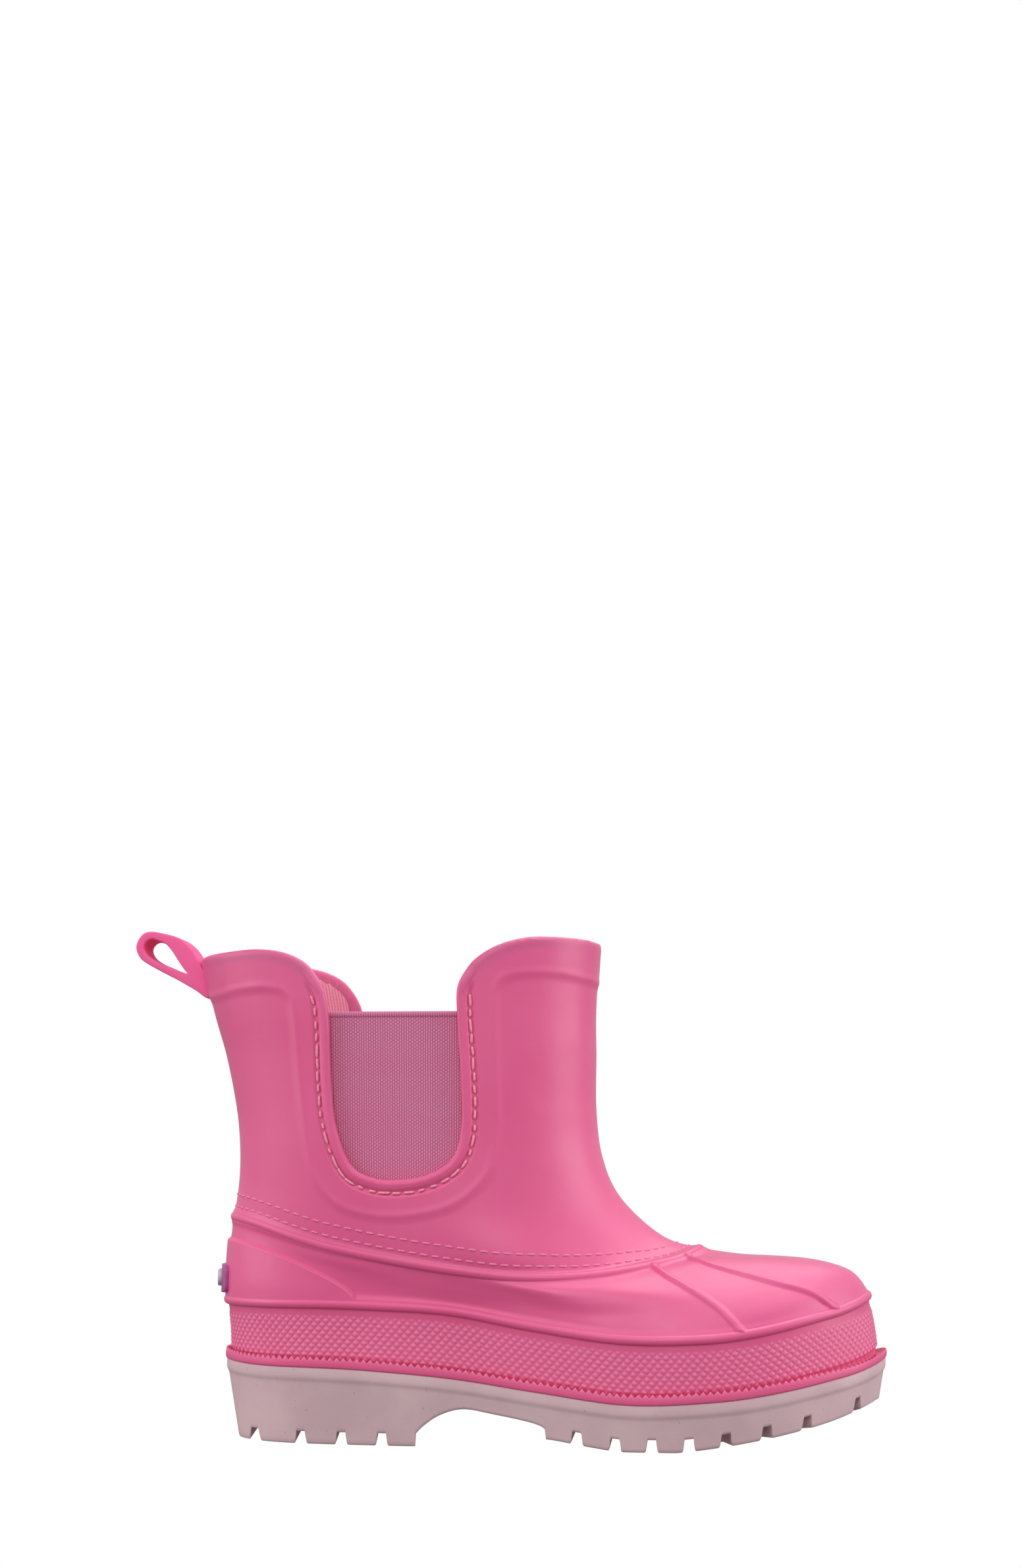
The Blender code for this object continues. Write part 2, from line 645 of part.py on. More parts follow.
def make_lining():
    """The fabric lining: it follows the same laps as the two shells, so that it stays clear of both."""
    places = [(level, 0) for level in range(1, SEAM_LEVEL)]
    places += [(SEAM_LEVEL, -SEAM_CLEAR), (SEAM_LEVEL, SEAM_CLEAR)]
    places += [(level, 0) for level in range(SEAM_LEVEL + 1, TOP_LEVEL)]
    places.append((TOP_LEVEL, -0.2))
    outside, inside = [], []
    for level, distance in places:
        offset = -SHELL - 2 * GAP - 0.35 * max(SEAM_LEVEL - level, 0)
        outside.append(upper_lap(level, distance, offset))
        inside.append(upper_lap(level, distance, offset - LINING))
    behind = -FOXING - SHELL - 4 * GAP
    outside = [wall_lap(share, behind) for share in (0.18, 0.98)] + outside
    inside = [wall_lap(share, behind - LINING) for share in (0.18, 0.98)] + inside
    lining = ring("sock_lining", outside + inside[::-1], LINEN, 0.95)
    cut(lining, collar_cutter("lining_cutter", GORE_MARGIN + 3 * GAP, 1.6))


def gore_edges(spread):
    """The two sides of the cut-out for the elastic, widened by spread, as x and z from bottom to top."""
    line = collar_line(spread, spread, 6)
    lowest = int(np.argmin(line[:, 1]))
    return line[lowest::-1], line[lowest:]


def make_gore(name, side):
    rear, fore = gore_edges(GORE_MARGIN)
    bottom = rear[0, 1] + 0.4
    heights = bottom + (GORE_TOP - bottom) * (1 - np.cos(np.linspace(0.12, 1, 12) * math.pi / 2))
    heights[-1] = GORE_TOP
    grid = []
    for z in heights:
        ends = (np.interp(z, rear[:30, 1], rear[:30, 0]), np.interp(z, fore[:60, 1], fore[:60, 0]))
        grid.append([(x, z) for x in np.linspace(*ends, 8)])
    flat = np.array(grid).reshape(-1, 2)
    shape = (len(heights), 8, 3)
    front = from_side(flat, np.full(len(flat), -SHELL - GAP), side).reshape(shape)
    back = from_side(flat, np.full(len(flat), -SHELL - GAP - ELASTIC), side).reshape(shape)
    plate(name, front, back, MAUVE, 0.8)


def edge_route(spread, top, spacing):
    """A side-view route beside the cut-out, evenly spaced, that ends at this height on both sides."""
    line = collar_line(spread, spread, 8)
    below = np.flatnonzero(line[:, 1] < top)
    line = line[below[0] : below[-1] + 1]
    length = np.concatenate([[0], np.cumsum(np.hypot(*np.diff(line, axis=0).T))])
    at = np.linspace(0, length[-1], round(length[-1] / spacing) + 1)
    return np.stack([np.interp(at, length, line[:, 0]), np.interp(at, length, line[:, 1])], axis=1)


def make_gore_trim(label, side):
    rim = edge_route(GORE_BEAD, SHOULDER_LOW - 0.5, 3.4)
    bead(f"gore_rim_{label}", from_side(rim, np.full(len(rim), -0.75), side), GORE_BEAD, False, 1, PINK, 0.3)
    sewn = edge_route(STITCH_OUT, SHOULDER_LOW - 2.0, 3.6)
    over = np.full(len(sewn), THREAD + GAP)
    bead(f"gore_stitching_{label}", from_side(sewn, over, side), THREAD, False, 0, THREAD_PINK, 0.8)


def make_pull_loop():
    outline, hole = spline(LOOP_OUTSIDE, 3, True), spline(LOOP_HOLE, 3, True)
    rows = []
    for route, y in ((outline, -1), (hole, -1), (hole, 1), (outline, 1)):
        rows.append([(x, y * LOOP_WIDTH / 2, z) for x, z in route])
    loop = ring("pull_loop", rows, PINK, 0.35)
    pivot = to_world((LOOP_PIVOT[0], 0, LOOP_PIVOT[1]))
    loop.data.transform(Matrix.Translation(-Vector(pivot)))
    loop.location = pivot


def main():
    for obj in list(bpy.data.objects):
        bpy.data.objects.remove(obj)
    make_outsole()
    make_heel_filler()
    make_insole_board()
    make_footbed()
    make_lower_shell()
    make_foxing()
    make_seam_piping()
    make_heel_counter()
    make_badge()
    make_shaft()
    make_lining()
    for label, side in (("lateral", -1), ("medial", 1)):
        make_gore(f"gore_{label}", side)
        make_gore_trim(label, side)
    make_pull_loop()


main()
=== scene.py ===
"""The looks of a child's ankle rain boot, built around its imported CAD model.

The skin of the boot is the CAD model's surface through closed loops, in a shoemaker's frame in
millimetres: x = 0 at the back of the welt, y = 0 on the centre line of the heel, z = 0 on the ground. A
loop starts at the middle of the back (turn 0), runs along the outer side to the toe (turn 180 degrees)
and comes back along the inner side.
"""

import math
from collections import namedtuple

import bpy
import numpy as np
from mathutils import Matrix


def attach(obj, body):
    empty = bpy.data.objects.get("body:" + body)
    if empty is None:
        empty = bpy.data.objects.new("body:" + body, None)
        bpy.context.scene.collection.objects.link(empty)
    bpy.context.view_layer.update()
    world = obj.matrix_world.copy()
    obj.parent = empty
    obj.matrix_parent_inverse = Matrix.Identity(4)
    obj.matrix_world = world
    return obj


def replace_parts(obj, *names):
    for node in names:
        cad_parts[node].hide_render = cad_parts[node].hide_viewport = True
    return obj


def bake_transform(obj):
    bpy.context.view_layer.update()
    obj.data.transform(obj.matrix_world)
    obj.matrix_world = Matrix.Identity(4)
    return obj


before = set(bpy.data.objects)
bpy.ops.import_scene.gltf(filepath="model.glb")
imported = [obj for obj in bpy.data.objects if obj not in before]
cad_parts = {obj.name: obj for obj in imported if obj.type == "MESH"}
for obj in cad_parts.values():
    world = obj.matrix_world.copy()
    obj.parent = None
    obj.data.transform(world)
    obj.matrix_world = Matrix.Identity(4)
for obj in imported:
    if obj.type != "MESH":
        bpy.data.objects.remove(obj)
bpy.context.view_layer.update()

MM = 0.001
ORIGIN = np.array([84.6, -0.15, 0.0])
TAU = 2 * math.pi

# Driving dimensions, in millimetres.
SHELL = 2.2
LINING = 1.1
LINING_EDGE = 3.4
ELASTIC = 1.4
GORE_TOP = 124.3
GORE_MARGIN = 6.0
LIP = 1.35
LIP_LIFT = 0.45
SEWN_DEPTH = 0.6
COLLAR_EDGE = 2.0
RIM_POWER = 0.72
STITCH_OUT = 3.8
SEAM_BEAD = 1.4
FOXING_BEAD = 1.35
BEAD_WIDER = 1.1
DIAMOND = (2.42, 2.45)
DIAMOND_DEPTH = 0.42
SMOOTH_STRIP = 3.5
CREVICE = 0.8
TOOTH_PITCH = 2.0
TOOTH_HEIGHT = 1.15
WEAVE = (0.7, 0.95)
RIB_PITCH = 1.05
FABRIC_PITCH = 1.1
DASH_PITCH = 3.35
DASH_SIZE = (0.3, 0.32)
DASH_ROWS = (3.2, 6.7)
STITCH_PITCH = 3.6
STITCH_SIZE = (0.36, 0.38)
LUG_DEPTH = 3.6
LUG_ROUND = 0.65
GROOVE = 3.2
WELT_OUT = 2.7
LEDGE_BACK = 0.65
RIM_STEP = 0.35
BAND = 0.3
RIDGE = 0.16
TOE_RIB = 0.85
HEEL_PANEL = 0.95
FILLET = 0.5

# ---- the CAD model's loops ----

STATIONS = np.radians((0, 30, 60, 75, 90, 105, 120, 150, 180))
Loop = namedtuple("Loop", "back front width height")
Skin = namedtuple("Skin", "points normals fine")
Finish = namedtuple("Finish", "material slot")

SOLE_EDGE = Loop(
    2.2, 193.8,
    (48, 44, 34.8, 32, 33.8, 39.2, 45, 51, 51.5),
    (23.6, 22.6, 21.6, 19.7, 16.3, 13.4, 14.3, 20.2, 24.6),
)
FOXING_TOP = Loop(
    1.1, 190.8,
    (47, 43, 33.5, 30.8, 32.3, 37.8, 43.9, 50, 51),
    (40.8, 40.6, 40.2, 38.9, 34.7, 31.5, 31.6, 37.8, 42.4),
)
SEAM = Loop(
    2.8, 141.8,
    (42, 38, 34.2, 32.5, 32.5, 33.5, 34.5, 34, 31),
    (65.5, 63.9, 56.6, 53.4, 50.6, 48.7, 48.8, 52.7, 56.3),
)
TOE_BOX = (
    Loop(
        1.1, 189.2,
        (47, 43, 33.4, 30.8, 32.1, 37.2, 42.8, 48.5, 50),
        (46, 45.5, 43.2, 41.1, 37.6, 34.9, 35.5, 43, 46.4),
    ),
    Loop(
        1.3, 184.5,
        (46, 42, 33.6, 31.3, 32, 36, 40, 42, 46),
        (51.5, 50.5, 46.2, 43.4, 40.6, 38.4, 40.3, 48.6, 50.3),
    ),
    Loop(
        1.7, 174.0,
        (45, 40.5, 34, 31.8, 32.2, 35.5, 38, 35, 36),
        (57, 55.5, 49.3, 46, 43.6, 41.8, 44, 52, 53),
    ),
    Loop(
        2.2, 158.0,
        (43.5, 39, 34.5, 32.2, 32.4, 35, 36.5, 31.5, 31),
        (61.2, 59.7, 52.6, 49.6, 46.9, 45, 46.2, 53.3, 54),
    ),
)
SHAFT = (
    Loop(
        3.6, 130.5,
        (41.5, 37.8, 34.5, 33, 33, 34.5, 35, 33.5, 33),
        (69.5, 68, 62, 59, 56.5, 55, 55, 57.5, 60),
    ),
    Loop(
        4.6, 118.6,
        (41, 37.5, 34.5, 33.2, 33, 33.8, 34, 34.5, 36),
        (77, 76, 72, 70, 68, 67, 66.8, 69, 71),
    ),
    Loop(
        4.8, 113.2,
        (41, 38, 34.8, 33.2, 32.8, 33.2, 33.8, 35.5, 38),
        (86, 85.7, 84.5, 83.5, 82.5, 82, 82, 82.6, 83),
    ),
    Loop(3.9, 111.4, (41.5, 38.5, 35, 33.2, 32.6, 32.8, 33.6, 36, 39), (97,) * 9),
    Loop(0.9, 111.4, (42, 39, 35.2, 33.3, 32.6, 32.6, 33.6, 36.5, 39.5), (112.5,) * 9),
    Loop(-3.2, 111.4, (43, 39.5, 35.5, 33.5, 32.6, 32.6, 33.8, 37, 40), (127,) * 9),
    Loop(-8.4, 112.8, (44, 40, 36, 33.8, 32.8, 32.8, 34, 37.5, 40.5), (149,) * 9),
)
UPPER = (FOXING_TOP,) + TOE_BOX + (SEAM,) + SHAFT
SEAM_LEVEL = UPPER.index(SEAM)
TOP_LEVEL = len(UPPER) - 1
BEND_X = (0, 40, 80, 125, 160, 195)
BEND_Y = (0, 0, -1.5, -1.0, 1.5, 5.0)

# Tread, as in the CAD model: lug tips along the boot, the arch, the grooves, and how far the wall of the
# sole leans in for each millimetre that it goes down. The grooves and the arch are placed at the outer edge
# of the sole, and SLANT is how far they shift along the boot for each millimetre across it.
TREAD_X = (0, 60, 100, 111, 121, 136, 147, 156, 168, 180, 194)
TREAD_Z = (0, 0, 3.0, 1.3, 0, 0, 1.3, 2.7, 5.0, 7.9, 12.6)
ARCH = ((61.9, 3.5), (64.5, 6.1), (69.2, 9.2), (75.7, 11), (84, 9.9), (98.3, 6.7), (99.5, 2.0))
CROSS_GROOVES = (14.6, 28.5, 40.4, 52.2, 108.5, 119.3, 129.5, 139.9)
TOE_GROOVE_TURNS = (122.9, 131.3, 140.9, 157.4)
TOE_GROOVE_REACH = (-14.0, 5.0)
DRAFT = 0.155
SLANT_X = (60, 100)
SLANT = (0.14, 0.03)
OUTER_EDGE = (32, 41)

# Side views, from the back of the boot to its front: the collar with the cut-out for the elastic, and the
# border between the raised band round them and the plain panels.
COLLAR_LINE = (
    (-16, 141.5), (4, 142.3), (16, 142.5), (25, 140.8), (31.5, 136.8), (35.3, 130.5),
    (36.9, 122), (37.5, 104), (39, 91), (43.5, 80.3), (50.5, 76.6), (58, 76.2),
    (66, 77.8), (72.5, 82.2), (75, 90), (75, 104), (73.9, 122), (74, 131),
    (77.3, 137.2), (83.5, 142), (91.5, 144.9), (101, 145.8), (125, 145.6),
)
SHOULDER_LOW, SHOULDER_HIGH = 131.0, 137.0
BAND_BORDER = (
    (-16, 130.6), (-5, 129.6), (2, 129.2), (10, 130.4), (19, 130.5), (24, 128.6),
    (25.6, 123), (26.7, 107.5), (28.8, 87.5), (32.1, 75.5), (40.1, 67.6), (54.2, 64.6),
    (71.9, 67.5), (83, 76.7), (86, 88.6), (86, 105), (85.5, 126), (86.6, 131.8),
    (91, 133.9), (101.8, 134.4), (112, 133), (125, 132),
)

# Ribs on the toe box, as x and z in side view on both sides.
TOE_RIBS = (
    ((128, 52.2), (133.3, 48.9), (141.9, 44.2), (149.4, 38.9), (156, 31.5)),
    ((137.5, 54.2), (147.2, 51.3), (156.2, 49), (164.7, 46.8), (172.3, 44.8), (177.3, 42.2), (181.5, 38.6)),
)

# Pull loop, in side view: the outside and the hole, point by point round the strap.
LOOP_WIDTH = 12.0
LOOP_ROUND = 0.55
LOOP_OUTSIDE = (
    (-2.8, 132.4), (-4.6, 130.4), (-8.3, 132.8), (-13.5, 135.8), (-18.5, 138.4), (-23, 140.9),
    (-25.3, 142.8), (-26.4, 146), (-24.9, 149.2), (-22.2, 150.5), (-17.7, 149.8), (-13.4, 148.5),
    (-10.2, 146), (-7.9, 142.6), (-6.0, 139.2), (-3.6, 137.2),
)
LOOP_HOLE = (
    (-10.8, 138), (-11.1, 137.9), (-12, 138.2), (-14.8, 139.2), (-17.4, 140.3), (-20.5, 141.7),
    (-22.9, 143.4), (-24, 145.6), (-23.3, 147.4), (-21.6, 148.2), (-19.3, 147.6), (-17.2, 146.6),
    (-15.3, 144.4), (-13.5, 141.6), (-12, 139.4), (-11.2, 138.4),
)


# ---- curves and surfaces ----

def weights(knots, at, flat_ends=False):
    """One row for each place: the share that each knot's value has in a smooth curve through them all."""
    knots = np.asarray(knots, float)
    at = np.atleast_1d(np.asarray(at, float))
    unit = np.eye(len(knots))
    slopes = np.array(np.gradient(unit, knots, axis=0))
    if flat_ends:
        slopes[[0, -1]] = 0
    left = np.clip(np.searchsorted(knots, at, side="right") - 1, 0, len(knots) - 2)
    span = (knots[left + 1] - knots[left])[:, None]
    t = (at - knots[left])[:, None] / span
    return (
        (1 + 2 * t) * (1 - t) ** 2 * unit[left]
        + t * (1 - t) ** 2 * span * slopes[left]
        + t * t * (3 - 2 * t) * unit[left + 1]
        + t * t * (t - 1) * span * slopes[left + 1]
    )


def smooth(knots, values, at):
    flat = np.ravel(at)
    return (weights(knots, flat) @ np.asarray(values, float)).reshape(np.shape(at))


def rise(value, low, high):
    """0 below low, 1 above high and a smooth step between."""
    t = np.clip((value - low) / (high - low), 0, 1)
    return t * t * (3 - 2 * t)


def make_skin(loops, fine, cells=1440):
    """Points and normals of the surface through the loops, with this many rows a level and cells a lap."""
    levels = np.arange((len(loops) - 1) * fine + 1) / fine
    turns = np.arange(cells) * TAU / cells
    folded = math.pi - np.abs(math.pi - turns)
    table = np.array([[loop.back, loop.front, *loop.width, *loop.height] for loop in loops])
    rows = weights(np.arange(len(loops)), levels) @ table
    by_turn = weights(STATIONS, folded, flat_ends=True).T
    count = len(STATIONS)
    x = rows[:, :1] + (rows[:, 1:2] - rows[:, :1]) * (1 - np.cos(turns)) / 2
    half = rows[:, 2 : 2 + count] @ by_turn
    y = smooth(BEND_X, BEND_Y, np.clip(x, 0, 195)) - np.sin(turns) * half
    points = np.stack([x, y, rows[:, 2 + count :] @ by_turn], axis=-1)
    along = np.roll(points, -1, axis=1) - np.roll(points, 1, axis=1)
    normals = np.cross(along, np.gradient(points, axis=0))
    return Skin(points, normals / np.linalg.norm(normals, axis=-1, keepdims=True), fine)


def on_skin(skin, level, turn, offset=0.0):
    """Points on the surface at these levels and turns, moved out along its normal by offset."""
    level, turn, offset = np.broadcast_arrays(*(np.asarray(v, float) for v in (level, turn, offset)))
    rows, cells = skin.points.shape[:2]
    row = np.clip(level * skin.fine, 0, rows - 1.001)
    cell = turn / TAU * cells
    low, first = row.astype(int), np.floor(cell).astype(int)
    up, ahead = (row - low)[..., None], (cell - first)[..., None]
    first, second = first % cells, (first + 1) % cells

    def mixed(grid):
        below = grid[low, first] * (1 - ahead) + grid[low, second] * ahead
        above = grid[low + 1, first] * (1 - ahead) + grid[low + 1, second] * ahead
        return below * (1 - up) + above * up

    return mixed(skin.points) + mixed(skin.normals) * offset[..., None]


def level_at(skin, level, turn, distance):
    """The level that lies this far above the given one, measured square to the loop."""
    turn = np.asarray(turn, float)
    here = on_skin(skin, level, turn)
    along = on_skin(skin, level, turn + 0.01) - here
    along /= np.linalg.norm(along, axis=-1, keepdims=True)
    step = np.full(turn.shape, math.copysign(0.1, distance))
    for _ in range(8):
        away = on_skin(skin, level + step, turn) - here
        step = step * abs(distance) / np.linalg.norm(np.cross(away, along), axis=-1)
    return level + step


def from_side(points):
    """Level and turn of the places on the outer side of the upper that show at these (x, z) points."""
    points = np.asarray(points, float)
    level = np.full(len(points), SEAM_LEVEL + 2.0)
    turn = np.full(len(points), math.pi / 2)
    step = 0.01
    for _ in range(60):
        here = on_skin(UPPER_SKIN, level, turn)[:, [0, 2]]
        by_level = (on_skin(UPPER_SKIN, level + step, turn)[:, [0, 2]] - here) / step
        by_turn = (on_skin(UPPER_SKIN, level, turn + step)[:, [0, 2]] - here) / step
        missing = points - here
        size = by_level[:, 0] * by_turn[:, 1] - by_level[:, 1] * by_turn[:, 0]
        size = np.where(np.abs(size) < 1e-3, 1e-3, size)
        up = (missing[:, 0] * by_turn[:, 1] - missing[:, 1] * by_turn[:, 0]) / size
        ahead = (by_level[:, 0] * missing[:, 1] - by_level[:, 1] * missing[:, 0]) / size
        level = np.clip(level + np.clip(up, -0.5, 0.5), 0.0, TOP_LEVEL - 0.02)
        turn = np.clip(turn + np.clip(ahead, -0.2, 0.2), 0.02, math.pi - 0.02)
    return level, turn


def spline(points, pieces, closed=False):
    """A smooth run through the points, with this many steps between two of them."""
    points = np.asarray(points, float)
    if closed:
        around = [np.roll(points, k, axis=0) for k in (1, 0, -1, -2)]
    else:
        padded = np.concatenate([points[:1], points, points[-1:], points[-1:]])
        around = [padded[k : k + len(points)] for k in range(4)]
    before, start, end, after = (side[:, None] for side in around)
    t = (np.arange(pieces) / pieces)[:, None]
    run = 0.5 * (
        2 * start
        + (end - before) * t
        + (2 * before - 5 * start + 4 * end - after) * t**2
        + (3 * start - before - 3 * end + after) * t**3
    )
    if closed:
        return run.reshape(-1, points.shape[1])
    return np.concatenate([run[:-1].reshape(-1, points.shape[1]), points[-1:]])


def evenly(route, spacing, closed=False):
    """Indices, with fractions, that split a route of 3-D points into even steps of about this spacing."""
    ring = np.concatenate([route, route[:1]]) if closed else route
    length = np.concatenate([[0], np.cumsum(np.linalg.norm(np.diff(ring, axis=0), axis=1))])
    count = max(round(length[-1] / spacing), 1)
    return np.interp(np.linspace(0, length[-1], count + 1), length, np.arange(len(length)))


def side_distance(line, x, z):
    """Distance from (x, z) to a line in side view, positive below it, and the direction in which it grows."""
    best = np.full(np.shape(x), 1e9)
    signed, grow_x, grow_z = (np.zeros(np.shape(x)) for _ in range(3))
    for (ax, az), (bx, bz) in zip(line[:-1], line[1:]):
        dx, dz = bx - ax, bz - az
        t = np.clip(((x - ax) * dx + (z - az) * dz) / (dx * dx + dz * dz), 0, 1)
        away_x, away_z = x - ax - t * dx, z - az - t * dz
        distance = np.hypot(away_x, away_z)
        closer = distance < best
        best = np.where(closer, distance, best)
        reach = np.copysign(np.maximum(distance, 1e-6), dz * away_x - dx * away_z)
        signed = np.where(closer, reach, signed)
        grow_x, grow_z = np.where(closer, away_x / reach, grow_x), np.where(closer, away_z / reach, grow_z)
    return signed, np.stack([grow_x, grow_z], axis=-1)


def route_distance(route, points):
    """Distance from each point to a route in space."""
    best = np.full(points.shape[:-1], 1e9)
    for start, end in zip(route[:-1], route[1:]):
        ahead = end - start
        t = np.clip(((points - start) @ ahead) / (ahead @ ahead), 0, 1)
        best = np.minimum(best, np.linalg.norm(points - start - t[..., None] * ahead, axis=-1))
    return best


def shoulder(z):
    """0 beside the elastic and 1 along the top of the collar."""
    return rise(z, SHOULDER_LOW, SHOULDER_HIGH)


def collar_line(spread, drop, pieces=8):
    """The collar line moved into the shell: by spread beside the elastic, and by drop at the top."""
    line = spline(COLLAR_LINE, pieces)
    ahead = np.gradient(line, axis=0)
    ahead /= np.linalg.norm(ahead, axis=1, keepdims=True)
    inwards = np.stack([ahead[:, 1], -ahead[:, 0]], axis=1)
    return line + inwards * (spread + (drop - spread) * shoulder(line[:, 1]))[:, None]


UPPER_SKIN = make_skin(UPPER, 20)
WALL_SKIN = make_skin((SOLE_EDGE, FOXING_TOP), 20)


# ---- meshes ----

def to_world(points):
    return (np.asarray(points, float) - ORIGIN) * MM


def grid(points, closed=False, inwards=False):
    """(points, quads) of a grid whose rows run round the boot and climb; closed joins each row's ends."""
    rows, columns = points.shape[:2]
    index = np.arange(rows * columns).reshape(rows, columns)
    if closed:
        index = np.concatenate([index, index[:, :1]], axis=1)
    quads = np.stack([index[:-1, :-1], index[:-1, 1:], index[1:, 1:], index[1:, :-1]], axis=-1).reshape(-1, 4)
    return points.reshape(-1, 3), quads[:, ::-1] if inwards else quads


def many(points):
    """(points, quads) of many tubes at once: points runs over tubes, rings and the points of a ring."""
    tubes, rings, sides = points.shape[:3]
    one = grid(np.zeros((rings, sides, 3)), closed=True)[1]
    quads = (one[None] + (np.arange(tubes) * rings * sides)[:, None, None]).reshape(-1, 4)
    return points.reshape(-1, 3), quads


def merged(*parts):
    points, quads, count = [], [], 0
    for part_points, part_quads in parts:
        points.append(part_points)
        quads.append(part_quads + count)
        count += len(part_points)
    return np.concatenate(points), np.concatenate(quads)


def trimmed(part, inside, grow):
    """The quads of a part where inside is above 0, with the points past that edge moved back on to it.

    grow is the unit vector in side view along which inside grows."""
    points, quads = part
    inside, grow = inside.reshape(-1), grow.reshape(-1, 2)
    quads = quads[(inside[quads].max(axis=1) > 0) & (inside[quads].min(axis=1) > -2.5)]
    used, index = np.unique(quads, return_inverse=True)
    missing = np.clip(-inside[used], 0, None)[:, None]
    points = points[used]
    points[:, [0, 2]] += missing * grow[used]
    return points, index.reshape(-1, 4), used


def mesh_object(name, part, finish, relief=None, weave=None):
    """A smooth mesh. relief is a number from 0 to 1 for each point, which sets where its material paints
    highlight or shade; weave its place in the cloth.
    """
    points, quads = part
    mesh = bpy.data.meshes.new(name)
    mesh.vertices.add(len(points))
    mesh.vertices.foreach_set("co", to_world(points).ravel())
    mesh.loops.add(quads.size)
    mesh.loops.foreach_set("vertex_index", quads.ravel().astype(np.int32))
    mesh.polygons.add(len(quads))
    mesh.polygons.foreach_set("loop_start", np.arange(0, quads.size, 4, dtype=np.int32))
    mesh.update(calc_edges=True)
    mesh.validate()
    mesh.shade_smooth()
    for label, kind, field, values in (
        ("relief", "FLOAT", "value", relief),
        ("weave", "FLOAT_VECTOR", "vector", weave),
    ):
        if values is not None:
            data = mesh.attributes.new(label, kind, "POINT").data
            data.foreach_set(field, np.ravel(values).astype(np.float32))
    obj = bpy.data.objects.new(name, mesh)
    bpy.context.scene.collection.objects.link(obj)
    obj.data.materials.append(finish.material)
    return obj


def on_boot(piece, *nodes):
    """Lets the piece move with the boot, in place of these nodes of the CAD model."""
    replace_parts(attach(piece, "boot"), *nodes)


def ring_angles(sides):
    return np.arange(sides) * TAU / sides


def tube(centres, normals, high, wide, sides=14, closed=False, power=1.0):
    """(points, quads) of a tube along a route: high is its half height along the normal, wide its half width.

    Its section is an ellipse, or squarer when power is below 1."""
    if closed:
        ahead = np.roll(centres, -1, axis=0) - np.roll(centres, 1, axis=0)
    else:
        ahead = np.gradient(centres, axis=0)
    across = np.cross(ahead, normals)
    across /= np.linalg.norm(across, axis=-1, keepdims=True)
    up, out = (v[None, :, None] for v in superellipse(ring_angles(sides), power))
    high, wide = (np.broadcast_to(v, len(centres))[:, None, None] for v in (high, wide))
    points = centres[:, None] + normals[:, None] * high * up + across[:, None] * wide * out
    if closed:
        points = np.concatenate([points, points[:1]])
    return grid(points, closed=True)


def skin_tube(skin, level, turn, lift, high, wide, sides=14, closed=False, power=1.0):
    """A tube along levels and turns of the skin, with its middle lifted off the skin."""
    centres = on_skin(skin, level, turn, lift)
    normals = on_skin(skin, level, turn, np.asarray(lift) + 1.0) - centres
    return tube(centres, normals, high, wide, sides, closed, power)


def dashes(skin, level, turn, pitch, share, size, lift, closed=False, uneven=0.0, seed=1):
    """(points, quads) of a row of short rounded strips along a route, each share of the pitch long.

    size is their half height and half width, and uneven how much each strays."""
    at = evenly(on_skin(skin, level, turn), pitch, closed)
    if closed:
        level, turn = np.append(level, level[0]), np.append(turn, turn[0] + TAU)
    steps, sides = 7, 8
    rng = np.random.default_rng(seed)
    stray = rng.uniform(-uneven, uneven, (4, len(at) - 1))
    span = np.diff(at)[:, None]
    along = np.linspace((1 - share) / 2, (1 + share) / 2, steps)
    places = at[:-1, None] + span * (0.5 + (along - 0.5) * (1 + stray[0][:, None]) + 0.1 * stray[1][:, None])
    index = np.arange(len(level))
    levels, turns = np.interp(places, index, level), np.interp(places, index, turn)
    tilt = np.linspace(-1, 1, steps) * stray[2][:, None] * 0.3 + 0.25 * stray[3][:, None]
    ends = np.clip(1 - np.linspace(-1, 1, steps) ** 6, 0.0, 1)[None, :, None, None] ** 0.5
    centres = on_skin(skin, levels, turns, lift)
    normals = on_skin(skin, levels, turns, lift + 1.0) - centres
    across = np.cross(np.gradient(centres, axis=1), normals)
    across /= np.linalg.norm(across, axis=-1, keepdims=True)
    centres = centres + across * tilt[..., None]
    angles = ring_angles(sides)[None, None, :, None]
    high, wide = size
    sink = (1 - ends) * high * 0.5
    points = centres[:, :, None] + normals[:, :, None] * (high * ends * np.cos(angles) - sink)
    points = points + across[:, :, None] * wide * ends * np.sin(angles)
    return many(points)


def superellipse(angles, power):
    """x and y round a rounded rectangle that reaches from -1 to 1."""
    across = np.sign(np.cos(angles)) * np.abs(np.cos(angles)) ** power
    up = np.sign(np.sin(angles)) * np.abs(np.sin(angles)) ** power
    return across, up


# ---- materials ----

def srgb(red, green, blue):
    """A colour given as 0 to 255 on the screen, as the linear numbers that a shader takes."""
    shares = np.array([red, green, blue]) / 255
    linear = np.where(shares <= 0.04045, shares / 12.92, ((shares + 0.055) / 1.055) ** 2.4)
    return (*linear.tolist(), 1.0)


def new_material(name, roughness, specular=0.5):
    material = bpy.data.materials.new(name)
    material.use_nodes = True
    shader = material.node_tree.nodes["Principled BSDF"]
    shader.inputs["Roughness"].default_value = roughness
    shader.inputs["Specular IOR Level"].default_value = specular
    return material, material.node_tree, shader


def noise(tree, scale, detail=3.0, stretch=None):
    """Noise in the object's own space; stretch is its scale along x, y and z."""
    place = tree.nodes.new("ShaderNodeTexCoord").outputs["Object"]
    if stretch:
        mapping = tree.nodes.new("ShaderNodeMapping")
        mapping.inputs["Scale"].default_value = stretch
        tree.links.new(place, mapping.inputs["Vector"])
        place = mapping.outputs["Vector"]
    node = tree.nodes.new("ShaderNodeTexNoise")
    node.inputs["Scale"].default_value = scale
    node.inputs["Detail"].default_value = detail
    tree.links.new(place, node.inputs["Vector"])
    return node.outputs["Fac"]


